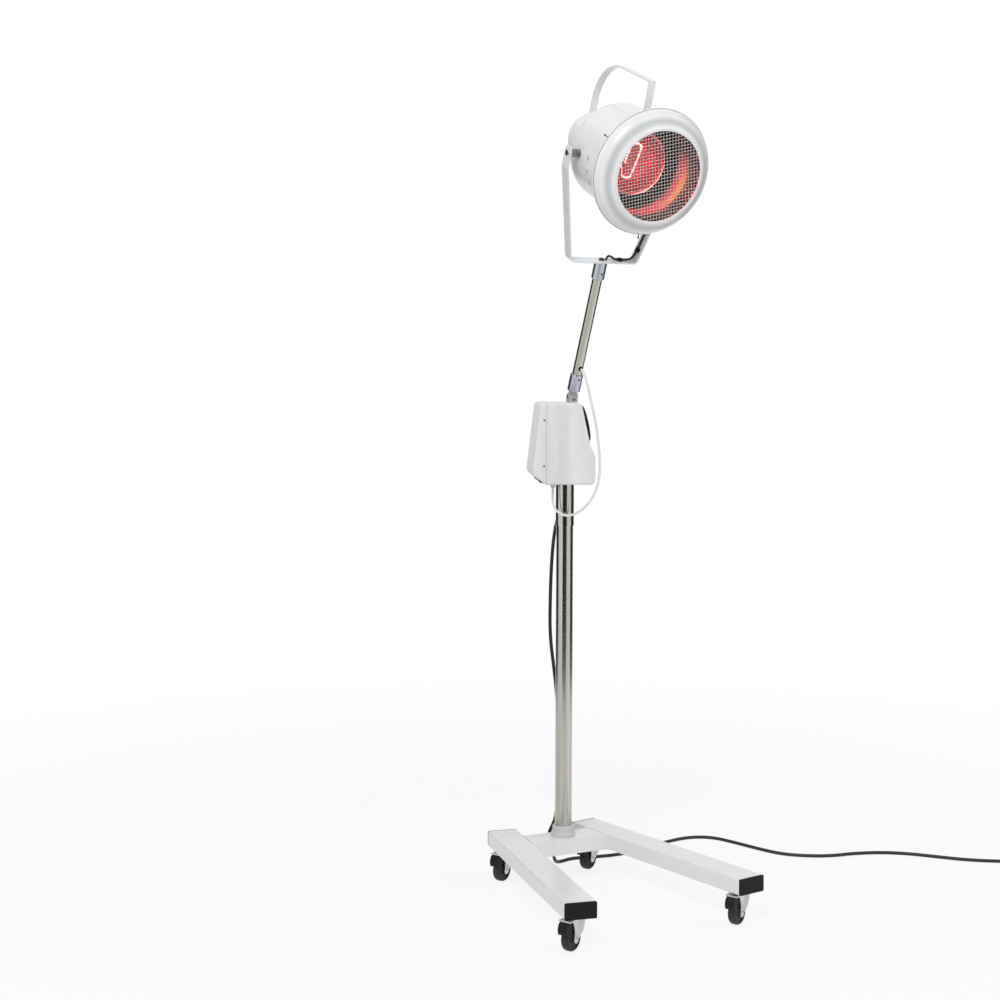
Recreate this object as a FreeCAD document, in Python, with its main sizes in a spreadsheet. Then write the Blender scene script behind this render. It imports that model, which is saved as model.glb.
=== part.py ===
import FreeCAD, Part
import math
import operator
import os

import Sketcher
from FreeCAD import Placement, Rotation, Vector

# Infrared heat therapy lamp on a wheeled stand, in millimetres.
# Origin: on the floor, under the mast. +Z is up, the head and the open end of the base face -Y.

SIZES = {
    # base: two splayed rails and a cross tube of the same section
    "rail_wide": 60,
    "rail_tall": 30,
    "rail_wall": 1.5,
    "rail_corner": 3,
    "rail_long": 491,
    "rail_behind": 86,
    "rail_apart": 108,
    "rail_splay": 10,
    "cap_thick": 3,
    "plug_deep": 14,
    "plug_wall": 2,
    "plug_gap": 0.15,
    # casters
    "caster_tall": 60,
    "caster_inset": 27,
    "caster_heading": 208,
    "caster_trail": 15,
    "wheel_radius": 22,
    "wheel_wide": 17,
    "wheel_gap": 1.2,
    "tread_round": 5,
    "fork_plate": 2.5,
    "fork_foot": 7,
    "fork_tongue": 20,
    "axle_radius": 3,
    "rivet_head": 4.5,
    "rivet_thick": 1.5,
    "race_radius": 13,
    "race_thick": 2.5,
    "stud_radius": 5,
    "stud_long": 10,
    "kingpin_radius": 4,
    "kingpin_head": 6.5,
    "kingpin_thick": 1.6,
    "hood_thick": 2,
    "running_fit": 0.05,
    "joint_gap": 0.3,
    # mast
    "mast_radius": 17,
    "mast_wall": 1.5,
    "mast_fit": 0.1,
    "socket_radius": 23.5,
    "socket_tall": 22,
    "sleeve_radius": 18.5,
    "sleeve_below": 84,
    "sleeve_above": 34,
    # control box
    "box_floor": 793,
    "box_heading": -21,
    "box_tall": 161,
    "box_wide": 118,
    "box_wall": 2.5,
    "box_round": 5,
    "seam_back": 44,
    "foot_round": 10,
    "chin_round": 36,
    "chin_lean": 32.5,
    "top_round": 7.6,
    "face_low_out": 42.5,
    "face_tall": 75,
    "face_drop": 6,
    "face_slope": 12,
    "rear_low_out": 71,
    "rear_low": 36,
    "rear_slope": 6.7663,
    "rear_top_round": 7,
    "heel_round": 20,
    "switch_at": 11.51,
    "switch_tilt": 34.4,
    "dial_radius": 37,
    "dial_thick": 7,
    "dial_dome": 1.5,
    "flute_count": 30,
    "flute_radius": 1.6,
    "plate_radius": 38,
    "plate_thick": 0.8,
    "shaft_radius": 3,
    "shaft_long": 13,
    "timer_wide": 42,
    "timer_deep": 26,
    "clamp_tall": 14,
    "clamp_wide": 52,
    "clamp_thick": 42,
    "switch_long": 17,
    "switch_wide": 12,
    "switch_rim": 1.8,
    "switch_deep": 15,
    "rocker_tilt": 7,
    "rocker_rise": 3,
    "rocker_deep": 3,
    "trunnion_radius": 1.2,
    "gland_radius": 7,
    "gland_long": 9,
    "shell_screw_radius": 2.2,
    "shell_screw_long": 8,
    "shell_screw_head": 1.2,
    "low_screw_up": 37,
    "high_screw_drop": 34,
    # arm
    "hinge_out": 13.5,
    "hinge_up": 11,
    "flange_radius": 10,
    "flange_thick": 3,
    "ear_round": 8,
    "ear_spread": 18,
    "ear_gap": 8.4,
    "tongue_thick": 8,
    "tongue_round": 7.6,
    "pin_radius": 2.5,
    "pin_head": 4.2,
    "pin_head_thick": 1.5,
    "arm_tilt": 23.5,
    "neck_radius": 9,
    "neck_start": 8.6,
    "neck_end": 34,
    "clasp_radius": 13,
    "clasp_start": 14,
    "clasp_long": 36,
    "arm_radius": 10,
    "arm_wall": 1.2,
    "arm_reach": 289,
    "top_clasp_long": 35,
    "top_clasp_lid": 8,
    "grommet_up": 65,
    "grommet_radius": 5,
    "set_screw_radius": 2,
    "bolt_radius": 3,
    "bolt_head": 5.5,
    "bolt_head_thick": 3.5,
    # yoke
    "strap_wide": 25,
    "strap_thick": 3,
    "yoke_half": 73,
    "yoke_splay": 14.5,
    "yoke_bend": 186,
    "yoke_height": 214,
    "yoke_over": 13,
    "yoke_round": 12,
    "pivot_radius": 3,
    "pivot_head": 6.5,
    "spacer_radius": 8,
    "nut_radius": 7,
    "nut_thick": 3,
    # head, measured from the tilt axis along the lamp's own axis
    "head_pitch": 21,
    "drum_radius": 96,
    "drum_wall": 1.5,
    "drum_front": 106,
    "drum_back": 60,
    "drum_round": 34,
    "back_hole": 42,
    "slot_count": 4,
    "slot_wide": 4,
    "slot_long": 8,
    "slot_at": 36,
    "cap_radius": 50,
    "cap_end": 147,
    "cap_round": 12,
    "cap_rim": 56,
    "louvre_count": 10,
    "louvre_wide": 5,
    "louvre_long": 30,
    "ring_radius": 119.5,
    "ring_thick": 1.6,
    "aperture_at": 140,
    "aperture_radius": 86,
    "ring_skirt": 12,
    "bezel_wide": 14.5,
    "bezel_step": 3,
    "mesh_pitch": 6.2,
    "wire_radius": 0.6,
    "mesh_turn": 13.7,
    "ring_pin_radius": 1,
    "ring_pin_ball": 1.9,
    "ring_pin_out": 10,
    "liner_radius": 89,
    "liner_wall": 0.8,
    "liner_bowl_at": 30,
    "liner_swell": 17,
    "liner_back": 44,
    "liner_hole": 26,
    "bulb_radius": 62.5,
    "bulb_wide_at": 46,
    "bulb_lens": 24,
    "bulb_neck": 19,
    "bulb_glass": 1.2,
    "bulb_neck_at": 30,
    "screw_cap_radius": 13,
    "screw_cap_long": 26,
    "holder_radius": 21,
    "holder_long": 52,
    "post_radius": 9,
    "handle_wide": 14,
    "handle_thick": 3,
    "handle_front": 50,
    "handle_rise": 158,
    "handle_foot": 16,
    "handle_round": 88,
    "handle_foot_low": 24,
    "trim_screw_radius": 2,
    # leads
    "flex_radius": 2.4,
    "yoke_cable_radius": 2.2,
    "clip_ease": 0.35,
    "lead_radius": 3.5,
    "coil_radius": 40,
    "pin_blade": 2.4,
    "pin_long": 19,
    "pin_apart": 19,
    "plug_long": 30,
    "plug_tall": 18,
    "plug_wide": 26,
    "relief_long": 25,
}

doc = FreeCAD.newDocument("HeatLamp")
sheet = doc.addObject("Spreadsheet::Sheet", "Sizes")
for row, (name, value) in enumerate(SIZES.items(), start=1):
    sheet.set("A%d" % row, name)
    sheet.set("B%d" % row, str(value))
    sheet.setAlias("B%d" % row, name)
doc.recompute()


# ---- sizes that carry their own expression -------------------------------------------------

OPERATIONS = {"+": operator.add, "-": operator.sub, "*": operator.mul, "/": operator.truediv}


class Size:
    """A value in mm or degrees, with the sheet expression that gives it."""

    def __init__(self, value, text):
        self.value = value
        self.text = text

    def __add__(self, other):
        return joined(self, "+", other)

    def __radd__(self, other):
        return joined(other, "+", self)

    def __sub__(self, other):
        return joined(self, "-", other)

    def __rsub__(self, other):
        return joined(other, "-", self)

    def __mul__(self, other):
        return joined(self, "*", other)

    def __rmul__(self, other):
        return joined(other, "*", self)

    def __truediv__(self, other):
        return joined(self, "/", other)

    def __rtruediv__(self, other):
        return joined(other, "/", self)

    def __neg__(self):
        return joined(0, "-", self)


def number(size):
    return size.value if isinstance(size, Size) else float(size)


def words(size):
    return size.text if isinstance(size, Size) else "(%r)" % float(size)


def joined(left, sign, right):
    value = OPERATIONS[sign](number(left), number(right))
    return Size(value, "(%s %s %s)" % (words(left), sign, words(right)))


def sine(angle):
    return Size(math.sin(math.radians(number(angle))), "sin(%s)" % words(angle))


def cosine(angle):
    return Size(math.cos(math.radians(number(angle))), "cos(%s)" % words(angle))


def tangent(angle):
    return sine(angle) / cosine(angle)


def size(name):
    return Size(float(sheet.get(name)), "Sizes." + name)


class Frame:
    """A place and a direction, with the expression that gives them from the sheet."""

    def __init__(self, placement=None, text=""):
        self.placement = placement or Placement()
        self.text = text

    def moved(self, x=0, y=0, z=0, axis=(0, 0, 1), angle=0):
        step = Placement(Vector(number(x), number(y), number(z)), Rotation(Vector(*axis), number(angle)))
        place = "create(<<vector>>; %s; %s; %s)" % (words(x), words(y), words(z))
        turn = "create(<<rotation>>; create(<<vector>>; %d; %d; %d); %s)" % (*axis, words(angle))
        text = "create(<<placement>>; %s; %s)" % (place, turn)
        if self.text:
            text = self.text + " * " + text
        return Frame(self.placement.multiply(step), text)

    def point(self, x, y, z):
        return self.placement.multVec(Vector(number(x), number(y), number(z)))


# ---- sketches and features ------------------------------------------------------------------

HORIZONTAL_AXIS = -1
VERTICAL_AXIS = -2
START, END, CENTRE = range(1, 4)


class Bend(tuple):
    """A point that the run between its two neighbours bends through as an arc."""


def new_body(name, frame):
    body = doc.addObject("PartDesign::Body", name)
    body.Placement = frame.placement
    body.setExpression("Placement", frame.text)
    return body


def new_sketch(body, name, plane="XZ_Plane", lift=0):
    sketch = body.newObject("Sketcher::SketchObject", name)
    origin_plane = [item for item in body.Origin.OriginFeatures if item.Role == plane][0]
    sketch.AttachmentSupport = [(origin_plane, "")]
    sketch.MapMode = "FlatFace"
    sketch.AttachmentOffset = Placement(Vector(0, 0, number(lift)), Rotation())
    if isinstance(lift, Size):
        sketch.setExpression("AttachmentOffset.Base.z", lift.text)
    return sketch


def tie(sketch, kind, geometry, position, amount):
    """Holds one coordinate of a point to a size."""
    axis = VERTICAL_AXIS if kind == "DistanceX" else HORIZONTAL_AXIS
    if not isinstance(amount, Size) and amount == 0:
        sketch.addConstraint(Sketcher.Constraint("PointOnObject", geometry, position, axis))
        return
    constraint = Sketcher.Constraint(kind, -1, 1, geometry, position, number(amount))
    index = sketch.addConstraint(constraint)
    if isinstance(amount, Size):
        sketch.setExpression("Constraints[%d]" % index, amount.text)


def free_sketch(body, name, frame):
    """A sketch on a plane of its own, given in the body's frame."""
    sketch = body.newObject("Sketcher::SketchObject", name)
    sketch.Placement = frame.placement
    sketch.setExpression("Placement", frame.text)
    return sketch


def outline(sketch, points):
    """Draws a closed outline; its corners, and the points that its arcs bend through, are tied."""
    corners = [point for point in points if not isinstance(point, Bend)]
    bends = {}
    for before, point in zip(points, points[1:]):
        if isinstance(point, Bend):
            bends[corners.index(before)] = point
    ends = []
    for index, corner in enumerate(corners):
        follower = corners[(index + 1) % len(corners)]
        first = Vector(number(corner[0]), number(corner[1]), 0)
        last = Vector(number(follower[0]), number(follower[1]), 0)
        if index in bends:
            middle = Vector(number(bends[index][0]), number(bends[index][1]), 0)
            turns_left = (middle - first).cross(last - first).z > 0
            arc = Part.Arc(first, middle, last) if turns_left else Part.Arc(last, middle, first)
            geometry = sketch.addGeometry(arc, False)
            ends.append((geometry, START, END) if turns_left else (geometry, END, START))
        else:
            geometry = sketch.addGeometry(Part.LineSegment(first, last), False)
            ends.append((geometry, START, END))
    for index, (geometry, start, end) in enumerate(ends):
        following, its_start, its_end = ends[(index + 1) % len(ends)]
        sketch.addConstraint(Sketcher.Constraint("Coincident", geometry, end, following, its_start))
    for corner, (geometry, start, end) in zip(corners, ends):
        tie(sketch, "DistanceX", geometry, start, corner[0])
        tie(sketch, "DistanceY", geometry, start, corner[1])
    for index, bend in bends.items():
        spot = sketch.addGeometry(Part.Point(Vector(number(bend[0]), number(bend[1]), 0)), True)
        tie(sketch, "DistanceX", spot, START, bend[0])
        tie(sketch, "DistanceY", spot, START, bend[1])
        sketch.addConstraint(Sketcher.Constraint("PointOnObject", spot, START, ends[index][0]))


def rectangle(sketch, left, low, right, high):
    outline(sketch, [(left, low), (right, low), (right, high), (left, high)])


def circle(sketch, radius, x=0, y=0):
    centre = Vector(number(x), number(y), 0)
    geometry = sketch.addGeometry(Part.Circle(centre, Vector(0, 0, 1), number(radius)), False)
    index = sketch.addConstraint(Sketcher.Constraint("Radius", geometry, number(radius)))
    if isinstance(radius, Size):
        sketch.setExpression("Constraints[%d]" % index, radius.text)
    tie(sketch, "DistanceX", geometry, CENTRE, x)
    tie(sketch, "DistanceY", geometry, CENTRE, y)


def pad(body, sketch, length, reverse=False, both_ways=False):
    feature = body.newObject("PartDesign::Pad", "Pad")
    feature.Profile = sketch
    feature.Length = number(length)
    if isinstance(length, Size):
        feature.setExpression("Length", length.text)
    feature.Reversed = reverse
    feature.Midplane = both_ways
    sketch.Visibility = False
    return feature


def pocket(body, sketch, depth=None, reverse=False, both_ways=False):
    """Cuts a sketch to a depth, or right through when none is given; a cut of nothing is an error."""
    doc.recompute()
    before = body.Shape.Volume
    feature = body.newObject("PartDesign::Pocket", "Pocket")
    feature.Profile = sketch
    if depth is None:
        feature.Type = "ThroughAll"
    else:
        feature.Length = number(depth)
        if isinstance(depth, Size):
            feature.setExpression("Length", depth.text)
    feature.Reversed = reverse
    feature.Midplane = both_ways
    doc.recompute()
    if body.Shape.Volume >= before:
        raise RuntimeError(body.Name + ": pocket cuts nothing")
    return feature


def turned(name, frame, points):
    """A body turned about its own Z from an outline of (radius, height)."""
    body = new_body(name, frame)
    sketch = new_sketch(body, name + "_profile")
    outline(sketch, points)
    feature = body.newObject("PartDesign::Revolution", "Revolution")
    feature.Profile = sketch
    feature.ReferenceAxis = (sketch, ["V_Axis"])
    feature.Angle = 360
    return body


def tube(name, frame, outer, inner, length, start=0):
    body = new_body(name, frame)
    sketch = new_sketch(body, name + "_section", "XY_Plane", start)
    circle(sketch, outer)
    circle(sketch, inner)
    pad(body, sketch, length)
    return body


def around(body, feature, count, sweep=360, clockwise=False):
    """Repeats a feature round the body's own Z, over the whole turn or a part of it."""
    pattern = body.newObject("PartDesign::PolarPattern", "Around")
    pattern.Originals = [feature]
    z_axis = [item for item in body.Origin.OriginFeatures if item.Role == "Z_Axis"][0]
    pattern.Axis = (z_axis, [""])
    pattern.Angle = sweep
    pattern.Reversed = clockwise
    pattern.Occurrences = int(number(count))
    pattern.setExpression("Occurrences", words(count))
    body.Tip = pattern


def rounded(body, radius, wanted):
    """Rounds the edges of the body that the test picks."""
    doc.recompute()
    base = body.Tip
    names = ["Edge%d" % (index + 1) for index, edge in enumerate(base.Shape.Edges) if wanted(edge)]
    feature = body.newObject("PartDesign::Fillet", "Round")
    feature.Base = (base, names)
    feature.Radius = number(radius)
    if isinstance(radius, Size):
        feature.setExpression("Radius", radius.text)


def screw(name, frame, shank_radius, shank_long, head_radius, head_thick):
    """A screw whose head stands on z = 0 and whose shank runs down."""
    return turned(name, frame, [
        (0, -shank_long), (shank_radius, -shank_long), (shank_radius, 0), (head_radius, 0),
        (head_radius, head_thick * 0.6), (head_radius * 0.7, head_thick), (0, head_thick),
    ])


# ---- nodes ------------------------------------------------------------------------------------

nodes = []


def node(label, item):
    item.Label = label
    nodes.append(item)
    return item


def group(label, items):
    compound = doc.addObject("Part::Compound", label + "_group")
    compound.Links = items
    return node(label, compound)


def drawn(label, shape):
    feature = doc.addObject("Part::Feature", label + "_shape")
    feature.Shape = shape
    return node(label, feature)


world = Frame().moved()
gap = size("joint_gap")
fit = size("running_fit")


# ---- base -------------------------------------------------------------------------------------

rail_wide = size("rail_wide")
rail_tall = size("rail_tall")
rail_wall = size("rail_wall")
rail_long = size("rail_long")
rail_behind = size("rail_behind")
rail_apart = size("rail_apart")
splay = size("rail_splay")
caster_tall = size("caster_tall")
caster_inset = size("caster_inset")
rail_front = rail_long - rail_behind
base_top = caster_tall + rail_tall


def rail_frame(side):
    """Underside of a rail's centre line beside the mast; -1 is the left rail, 1 the right."""
    return world.moved(x=side * rail_apart, z=caster_tall, angle=side * splay)


def long_edges(length):
    return lambda edge: abs(edge.Length - number(length)) < 0.01


def make_rail(name, side):
    body = new_body(name + "_body", rail_frame(side))
    section = new_sketch(body, name + "_section", lift=-rail_behind)
    half = rail_wide / 2
    rectangle(section, -half, 0, half, rail_tall)
    pad(body, section, rail_long)
    rounded(body, size("rail_corner"), long_edges(rail_long))
    hollow = new_sketch(body, name + "_hollow", lift=-rail_behind)
    rectangle(hollow, rail_wall - half, rail_wall, half - rail_wall, rail_tall - rail_wall)
    pocket(body, hollow, reverse=True)
    holes = new_sketch(body, name + "_stud_holes", "XY_Plane")
    circle(holes, size("stud_radius") + fit, 0, rail_behind - caster_inset)
    circle(holes, size("stud_radius") + fit, 0, caster_inset - rail_front)
    pocket(body, holes, rail_wall, reverse=True)
    return node(name, body)


def make_cross_tube():
    body = new_body("cross_tube_body", world.moved(z=caster_tall))
    plan = new_sketch(body, "cross_plan", "XY_Plane")
    half = rail_wide / 2
    middle = rail_apart - half / cosine(splay)
    front = middle + half * tangent(splay)
    rear = middle - half * tangent(splay)
    outline(plan, [(-front, -half), (front, -half), (rear, half), (-rear, half)])
    pad(body, plan, rail_tall)
    hollow = new_sketch(body, "cross_hollow", "YZ_Plane")
    rectangle(hollow, rail_wall - half, rail_wall, half - rail_wall, rail_tall - rail_wall)
    pocket(body, hollow, both_ways=True)
    hole = new_sketch(body, "cross_mast_hole", "XY_Plane", rail_tall)
    circle(hole, size("mast_radius") + size("mast_fit"))
    pocket(body, hole, rail_wall)
    return node("cross_tube", body)


def make_cap(name, side, end):
    """A plastic plug in a rail's end; end is -1 at the front and 1 at the rear."""
    reach = rail_behind if end > 0 else -rail_front
    body = new_body(name, rail_frame(side).moved(y=reach, z=rail_tall / 2, axis=(1, 0, 0), angle=-90 * end))
    half = rail_wide / 2
    face = new_sketch(body, name + "_face", "XY_Plane")
    rectangle(face, -half, -rail_tall / 2, half, rail_tall / 2)
    pad(body, face, size("cap_thick"))
    rounded(body, size("rail_corner"), long_edges(size("cap_thick")))
    inset = rail_wall + size("plug_gap")
    wall = inset + size("plug_wall")
    plug = new_sketch(body, name + "_plug", "XY_Plane")
    rectangle(plug, inset - half, inset - rail_tall / 2, half - inset, rail_tall / 2 - inset)
    rectangle(plug, wall - half, wall - rail_tall / 2, half - wall, rail_tall / 2 - wall)
    pad(body, plug, size("plug_deep"), reverse=True)
    return body


make_rail("left_rail", -1)
make_rail("right_rail", 1)
make_cross_tube()
group("rail_end_caps", [
    make_cap("cap_left_front", -1, -1),
    make_cap("cap_left_rear", -1, 1),
    make_cap("cap_right_front", 1, -1),
    make_cap("cap_right_rear", 1, 1),
])


# ---- casters ----------------------------------------------------------------------------------

wheel_radius = size("wheel_radius")
trail = size("caster_trail")
race_foot = caster_tall - size("race_thick")
fork_top = race_foot - gap
fork_under = fork_top - size("fork_plate")
slot_half = size("wheel_wide") / 2 + size("wheel_gap")
fork_half = slot_half + size("fork_plate")
tongue_out = trail + size("fork_tongue")


def caster_frame(side, end):
    """On the floor under a caster's swivel axis, X turned to the way the wheel trails."""
    reach = rail_behind - caster_inset if end > 0 else caster_inset - rail_front
    corner = rail_frame(side).moved(y=reach, z=-caster_tall)
    return corner.moved(angle=size("caster_heading") - side * splay)


def make_stem(name, frame):
    """Race, stud up into the rail and kingpin down through the fork, on the swivel axis."""
    race = size("race_radius")
    head = fork_under - gap
    return turned(name, frame, [
        (0, head - size("kingpin_thick")),
        (size("kingpin_head"), head - size("kingpin_thick")),
        (size("kingpin_head"), head),
        (size("kingpin_radius"), head),
        (size("kingpin_radius"), race_foot),
        (race, race_foot),
        (race, caster_tall),
        (size("stud_radius"), caster_tall),
        (size("stud_radius"), caster_tall + size("stud_long")),
        (0, caster_tall + size("stud_long")),
    ])


def make_fork(name, frame):
    body = new_body(name + "_body", frame)
    side = new_sketch(body, name + "_side")
    foot = size("fork_foot")
    race = size("race_radius")
    outline(side, [
        (-race, fork_top),
        (-race, fork_under - 2),
        Bend((-race + 4, wheel_radius * 1.75)),
        (trail - foot, wheel_radius),
        Bend((trail, wheel_radius - foot)),
        (trail + foot, wheel_radius),
        Bend((trail + foot * 0.75, wheel_radius * 1.7)),
        (trail + foot * 1.6, fork_under),
        (tongue_out, fork_under),
        (tongue_out, fork_top),
    ])
    pad(body, side, fork_half * 2, both_ways=True)
    slot = new_sketch(body, name + "_slot", "YZ_Plane")
    rectangle(slot, -slot_half, 0, slot_half, fork_under)
    pocket(body, slot, both_ways=True)
    hole = new_sketch(body, name + "_kingpin_hole", "XY_Plane", fork_top)
    circle(hole, size("kingpin_radius") + fit)
    pocket(body, hole, size("fork_plate"))
    axle_hole = new_sketch(body, name + "_axle_hole")
    circle(axle_hole, size("axle_radius"), trail, wheel_radius)
    pocket(body, axle_hole, both_ways=True)
    return group(name, [body, make_axle(name + "_axle", frame)])


def axle_frame(frame):
    """The wheel's axis, Z along the axle."""
    return frame.moved(x=trail, z=wheel_radius, axis=(1, 0, 0), angle=90)


def make_axle(name, frame):
    axle = size("axle_radius")
    head = size("rivet_head")
    end = fork_half + size("rivet_thick")
    return turned(name, axle_frame(frame), [
        (0, -end), (head * 0.6, -end), (head, -fork_half), (axle, -fork_half),
        (axle, fork_half), (head, fork_half), (head * 0.6, end), (0, end),
    ])


def make_wheel(name, frame):
    half = size("wheel_wide") / 2
    bore = size("axle_radius") + fit
    tread = size("tread_round")
    hub = wheel_radius * 0.42
    dish = wheel_radius * 0.72
    return node(name, turned(name + "_body", axle_frame(frame), [
        (bore, -half), (hub, -half), (hub + 2, -half + 2), (dish, -half + 2), (dish + 1, -half),
        (wheel_radius - tread, -half), Bend((wheel_radius - tread * 0.3, tread * 0.3 - half)),
        (wheel_radius, tread - half), (wheel_radius, half - tread),
        Bend((wheel_radius - tread * 0.3, half - tread * 0.3)), (wheel_radius - tread, half),
        (dish + 1, half), (dish, half - 2), (hub + 2, half - 2), (hub, half), (bore, half),
    ]))


def make_hood(name, frame):
    """Plastic guard under the fork's tongue, curved round the top of the wheel."""
    body = new_body(name + "_body", frame)
    side = new_sketch(body, name + "_side")
    inner = wheel_radius + 1.5
    outer = inner + size("hood_thick")
    low = 25
    high = 75
    middle = (low + high) / 2
    lobe = trail + outer * cosine(low)
    outline(side, [
        (trail + inner * cosine(low), wheel_radius + inner * sine(low)),
        (lobe + 2, wheel_radius + outer * sine(low)),
        Bend((lobe + 4, wheel_radius + outer * sine(low) + 11)),
        (tongue_out, fork_under),
        (trail + inner * cosine(high), fork_under),
        (trail + inner * cosine(high), wheel_radius + inner * sine(high)),
        Bend((trail + inner * cosine(middle), wheel_radius + inner * sine(middle))),
    ])
    pad(body, side, slot_half * 2, both_ways=True)
    return node(name, body)


CORNERS = {"front_left": (-1, -1), "front_right": (1, -1), "rear_left": (-1, 1), "rear_right": (1, 1)}
stems = []
for corner, (side, end) in CORNERS.items():
    place = caster_frame(side, end)
    stems.append(make_stem(corner + "_stem", place))
    make_fork(corner + "_fork", place)
    make_wheel(corner + "_wheel", place)
    make_hood(corner + "_hood", place)
group("caster_stems", stems)


# ---- mast -------------------------------------------------------------------------------------

mast_radius = size("mast_radius")
mast_bore = mast_radius - size("mast_wall")
sleeve_radius = size("sleeve_radius")
box_floor = size("box_floor")
box_wall = size("box_wall")
mast_top = box_floor + size("sleeve_above") + size("clamp_tall")


def make_socket():
    bore = mast_radius + size("mast_fit")
    outer = size("socket_radius")
    tall = size("socket_tall")
    return node("mast_socket", turned("socket_body", world.moved(z=base_top), [
        (bore, 0), (outer, 0), (outer, tall * 0.25), (outer - 1.5, tall * 0.4),
        (outer - 2, tall - 2), (outer - 4, tall), (bore, tall),
    ]))


mast_foot = caster_tall + rail_wall
node("mast_tube", tube("mast_body", world, mast_radius, mast_bore, mast_top - mast_foot, mast_foot))
make_socket()
sleeve_foot = box_floor - size("sleeve_below")
sleeve_top = box_floor + size("sleeve_above")
node("mast_sleeve", tube(
    "sleeve_body", world, sleeve_radius, mast_radius + size("mast_fit"), sleeve_top - sleeve_foot, sleeve_foot))


# ---- control box ------------------------------------------------------------------------------

box = world.moved(z=box_floor, angle=size("box_heading"))
box_tall = size("box_tall")
box_wide = size("box_wide")
seam = -size("seam_back")
slope = size("face_slope")
face_high = box_tall - size("face_drop")
face_low = face_high - size("face_tall")
low_out = size("face_low_out")
rear_low = size("rear_low")
rear_slope = size("rear_slope")
rear_top_round = size("rear_top_round")
switch_tilt = size("switch_tilt")


AHEAD, QUARTER, HALF = 0, 90, 180


class Turn:
    """A rounded corner: its centre, its radius, and the headings that it turns between."""

    def __init__(self, out, up, radius, arrives, leaves):
        self.out = out
        self.up = up
        self.radius = radius
        self.headings = (arrives, (arrives + leaves) / 2, leaves)

    def points(self, inset):
        """The arc's start, middle and end, drawn in by inset."""
        radius = self.radius - inset
        start, middle, end = [
            (self.out + radius * sine(heading), self.up - radius * cosine(heading))
            for heading in self.headings]
        return [start, Bend(middle), end]


def front_turns():
    """Foot, chin, the hollow under the face, and the top edge of the front shell."""
    foot = size("foot_round")
    chin = size("chin_round")
    top = size("top_round")
    lean = size("chin_lean")
    hollow_out = low_out + chin * cosine(slope)
    hollow_up = face_low + chin * sine(slope)
    chin_out = hollow_out - chin * 2 * cosine(lean)
    chin_up = hollow_up - chin * 2 * sine(lean)
    top_up = box_tall - top
    top_out = low_out - (top_up - face_low) * tangent(slope) - top / cosine(slope)
    return [
        Turn(chin_out + chin - foot, foot, foot, AHEAD, QUARTER),
        Turn(chin_out, chin_up, chin, QUARTER, lean + 90),
        Turn(hollow_out, hollow_up, 0 - chin, lean + 90, slope + 90),
        Turn(top_out, top_up, top, slope + 90, HALF),
    ]


def rear_turns():
    """Top edge and heel of the rear shell; the heel meets the rear and the switch's face alike."""
    heel = size("heel_round")
    top_up = box_tall - rear_top_round
    on_rear = top_up - rear_low
    top_out = on_rear * tangent(rear_slope) + rear_top_round / cosine(rear_slope) - size("rear_low_out")
    from_rear = heel - size("rear_low_out") * cosine(rear_slope) - rear_low * sine(rear_slope)
    from_switch = heel + seam * sine(switch_tilt)
    spread = cosine(switch_tilt - rear_slope)
    heel_out = (from_rear * cosine(switch_tilt) + from_switch * sine(rear_slope)) / spread
    heel_up = (from_switch * cosine(rear_slope) - from_rear * sine(switch_tilt)) / spread
    return [
        Turn(top_out, top_up, rear_top_round, HALF, 270 - rear_slope),
        Turn(heel_out, heel_up, heel, 270 - rear_slope, 360 - switch_tilt),
    ]


def front_profile(inset):
    """Side view of the front shell as (out, up), drawn in from the outside by inset."""
    foot, chin, hollow, top = [turn.points(inset) for turn in front_turns()]
    return [(seam, inset)] + foot + chin + hollow[1:] + top + [(seam, box_tall - inset)]


def rear_profile(inset):
    """Side view of the rear shell as (out, up), drawn in from the outside by inset."""
    top, heel = [turn.points(inset) for turn in rear_turns()]
    return [(seam, inset / cosine(switch_tilt)), (seam, box_tall - inset)] + top + heel


def side_edges(half, seam_out):
    """Picks the edges of the two flat sides, apart from those on the seam."""
    def wanted(edge):
        bounds = edge.BoundBox
        on_side = abs(abs(bounds.Center.y) - number(half)) < 0.01 and bounds.YLength < 0.01
        on_seam = abs(bounds.Center.x - number(seam_out)) < 0.01 and bounds.XLength < 0.01
        return on_side and not on_seam
    return wanted


def make_shell(name, profile):
    """Half of the box: a rounded block as wide as the box, hollow and open at the seam."""
    body = new_body(name + "_body", box)
    side = new_sketch(body, name + "_side")
    outline(side, profile(0))
    pad(body, side, box_wide, both_ways=True)
    rounded(body, size("box_round"), side_edges(box_wide / 2, seam))
    hollow = new_sketch(body, name + "_hollow")
    outline(hollow, profile(box_wall))
    pocket(body, hollow, box_wide - box_wall * 2, both_ways=True)
    return body


dial_up = (face_low + face_high) / 2
dial_out = low_out - (dial_up - face_low) * tangent(slope)
dial_face = Frame().moved(x=dial_out, z=dial_up, axis=(0, 1, 0), angle=90 - slope)
dial_frame = box.moved(x=dial_out, z=dial_up, axis=(0, 1, 0), angle=90 - slope)
switch_place = dict(
    x=seam - size("switch_at") * cosine(switch_tilt), z=size("switch_at") * sine(switch_tilt),
    axis=(0, 1, 0), angle=switch_tilt + 180)
lead_gland_at = (-2, 32)
flex_gland_at = (-26.6, -17.2)
gland_radius = size("gland_radius")
gland_long = size("gland_long")
hinge_out = size("hinge_out")
shell_screw_out = seam - 5
shell_screws_up = (size("low_screw_up"), box_tall - size("high_screw_drop"))
rocker_deep = size("rocker_deep")
trunnion_radius = size("trunnion_radius")


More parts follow.
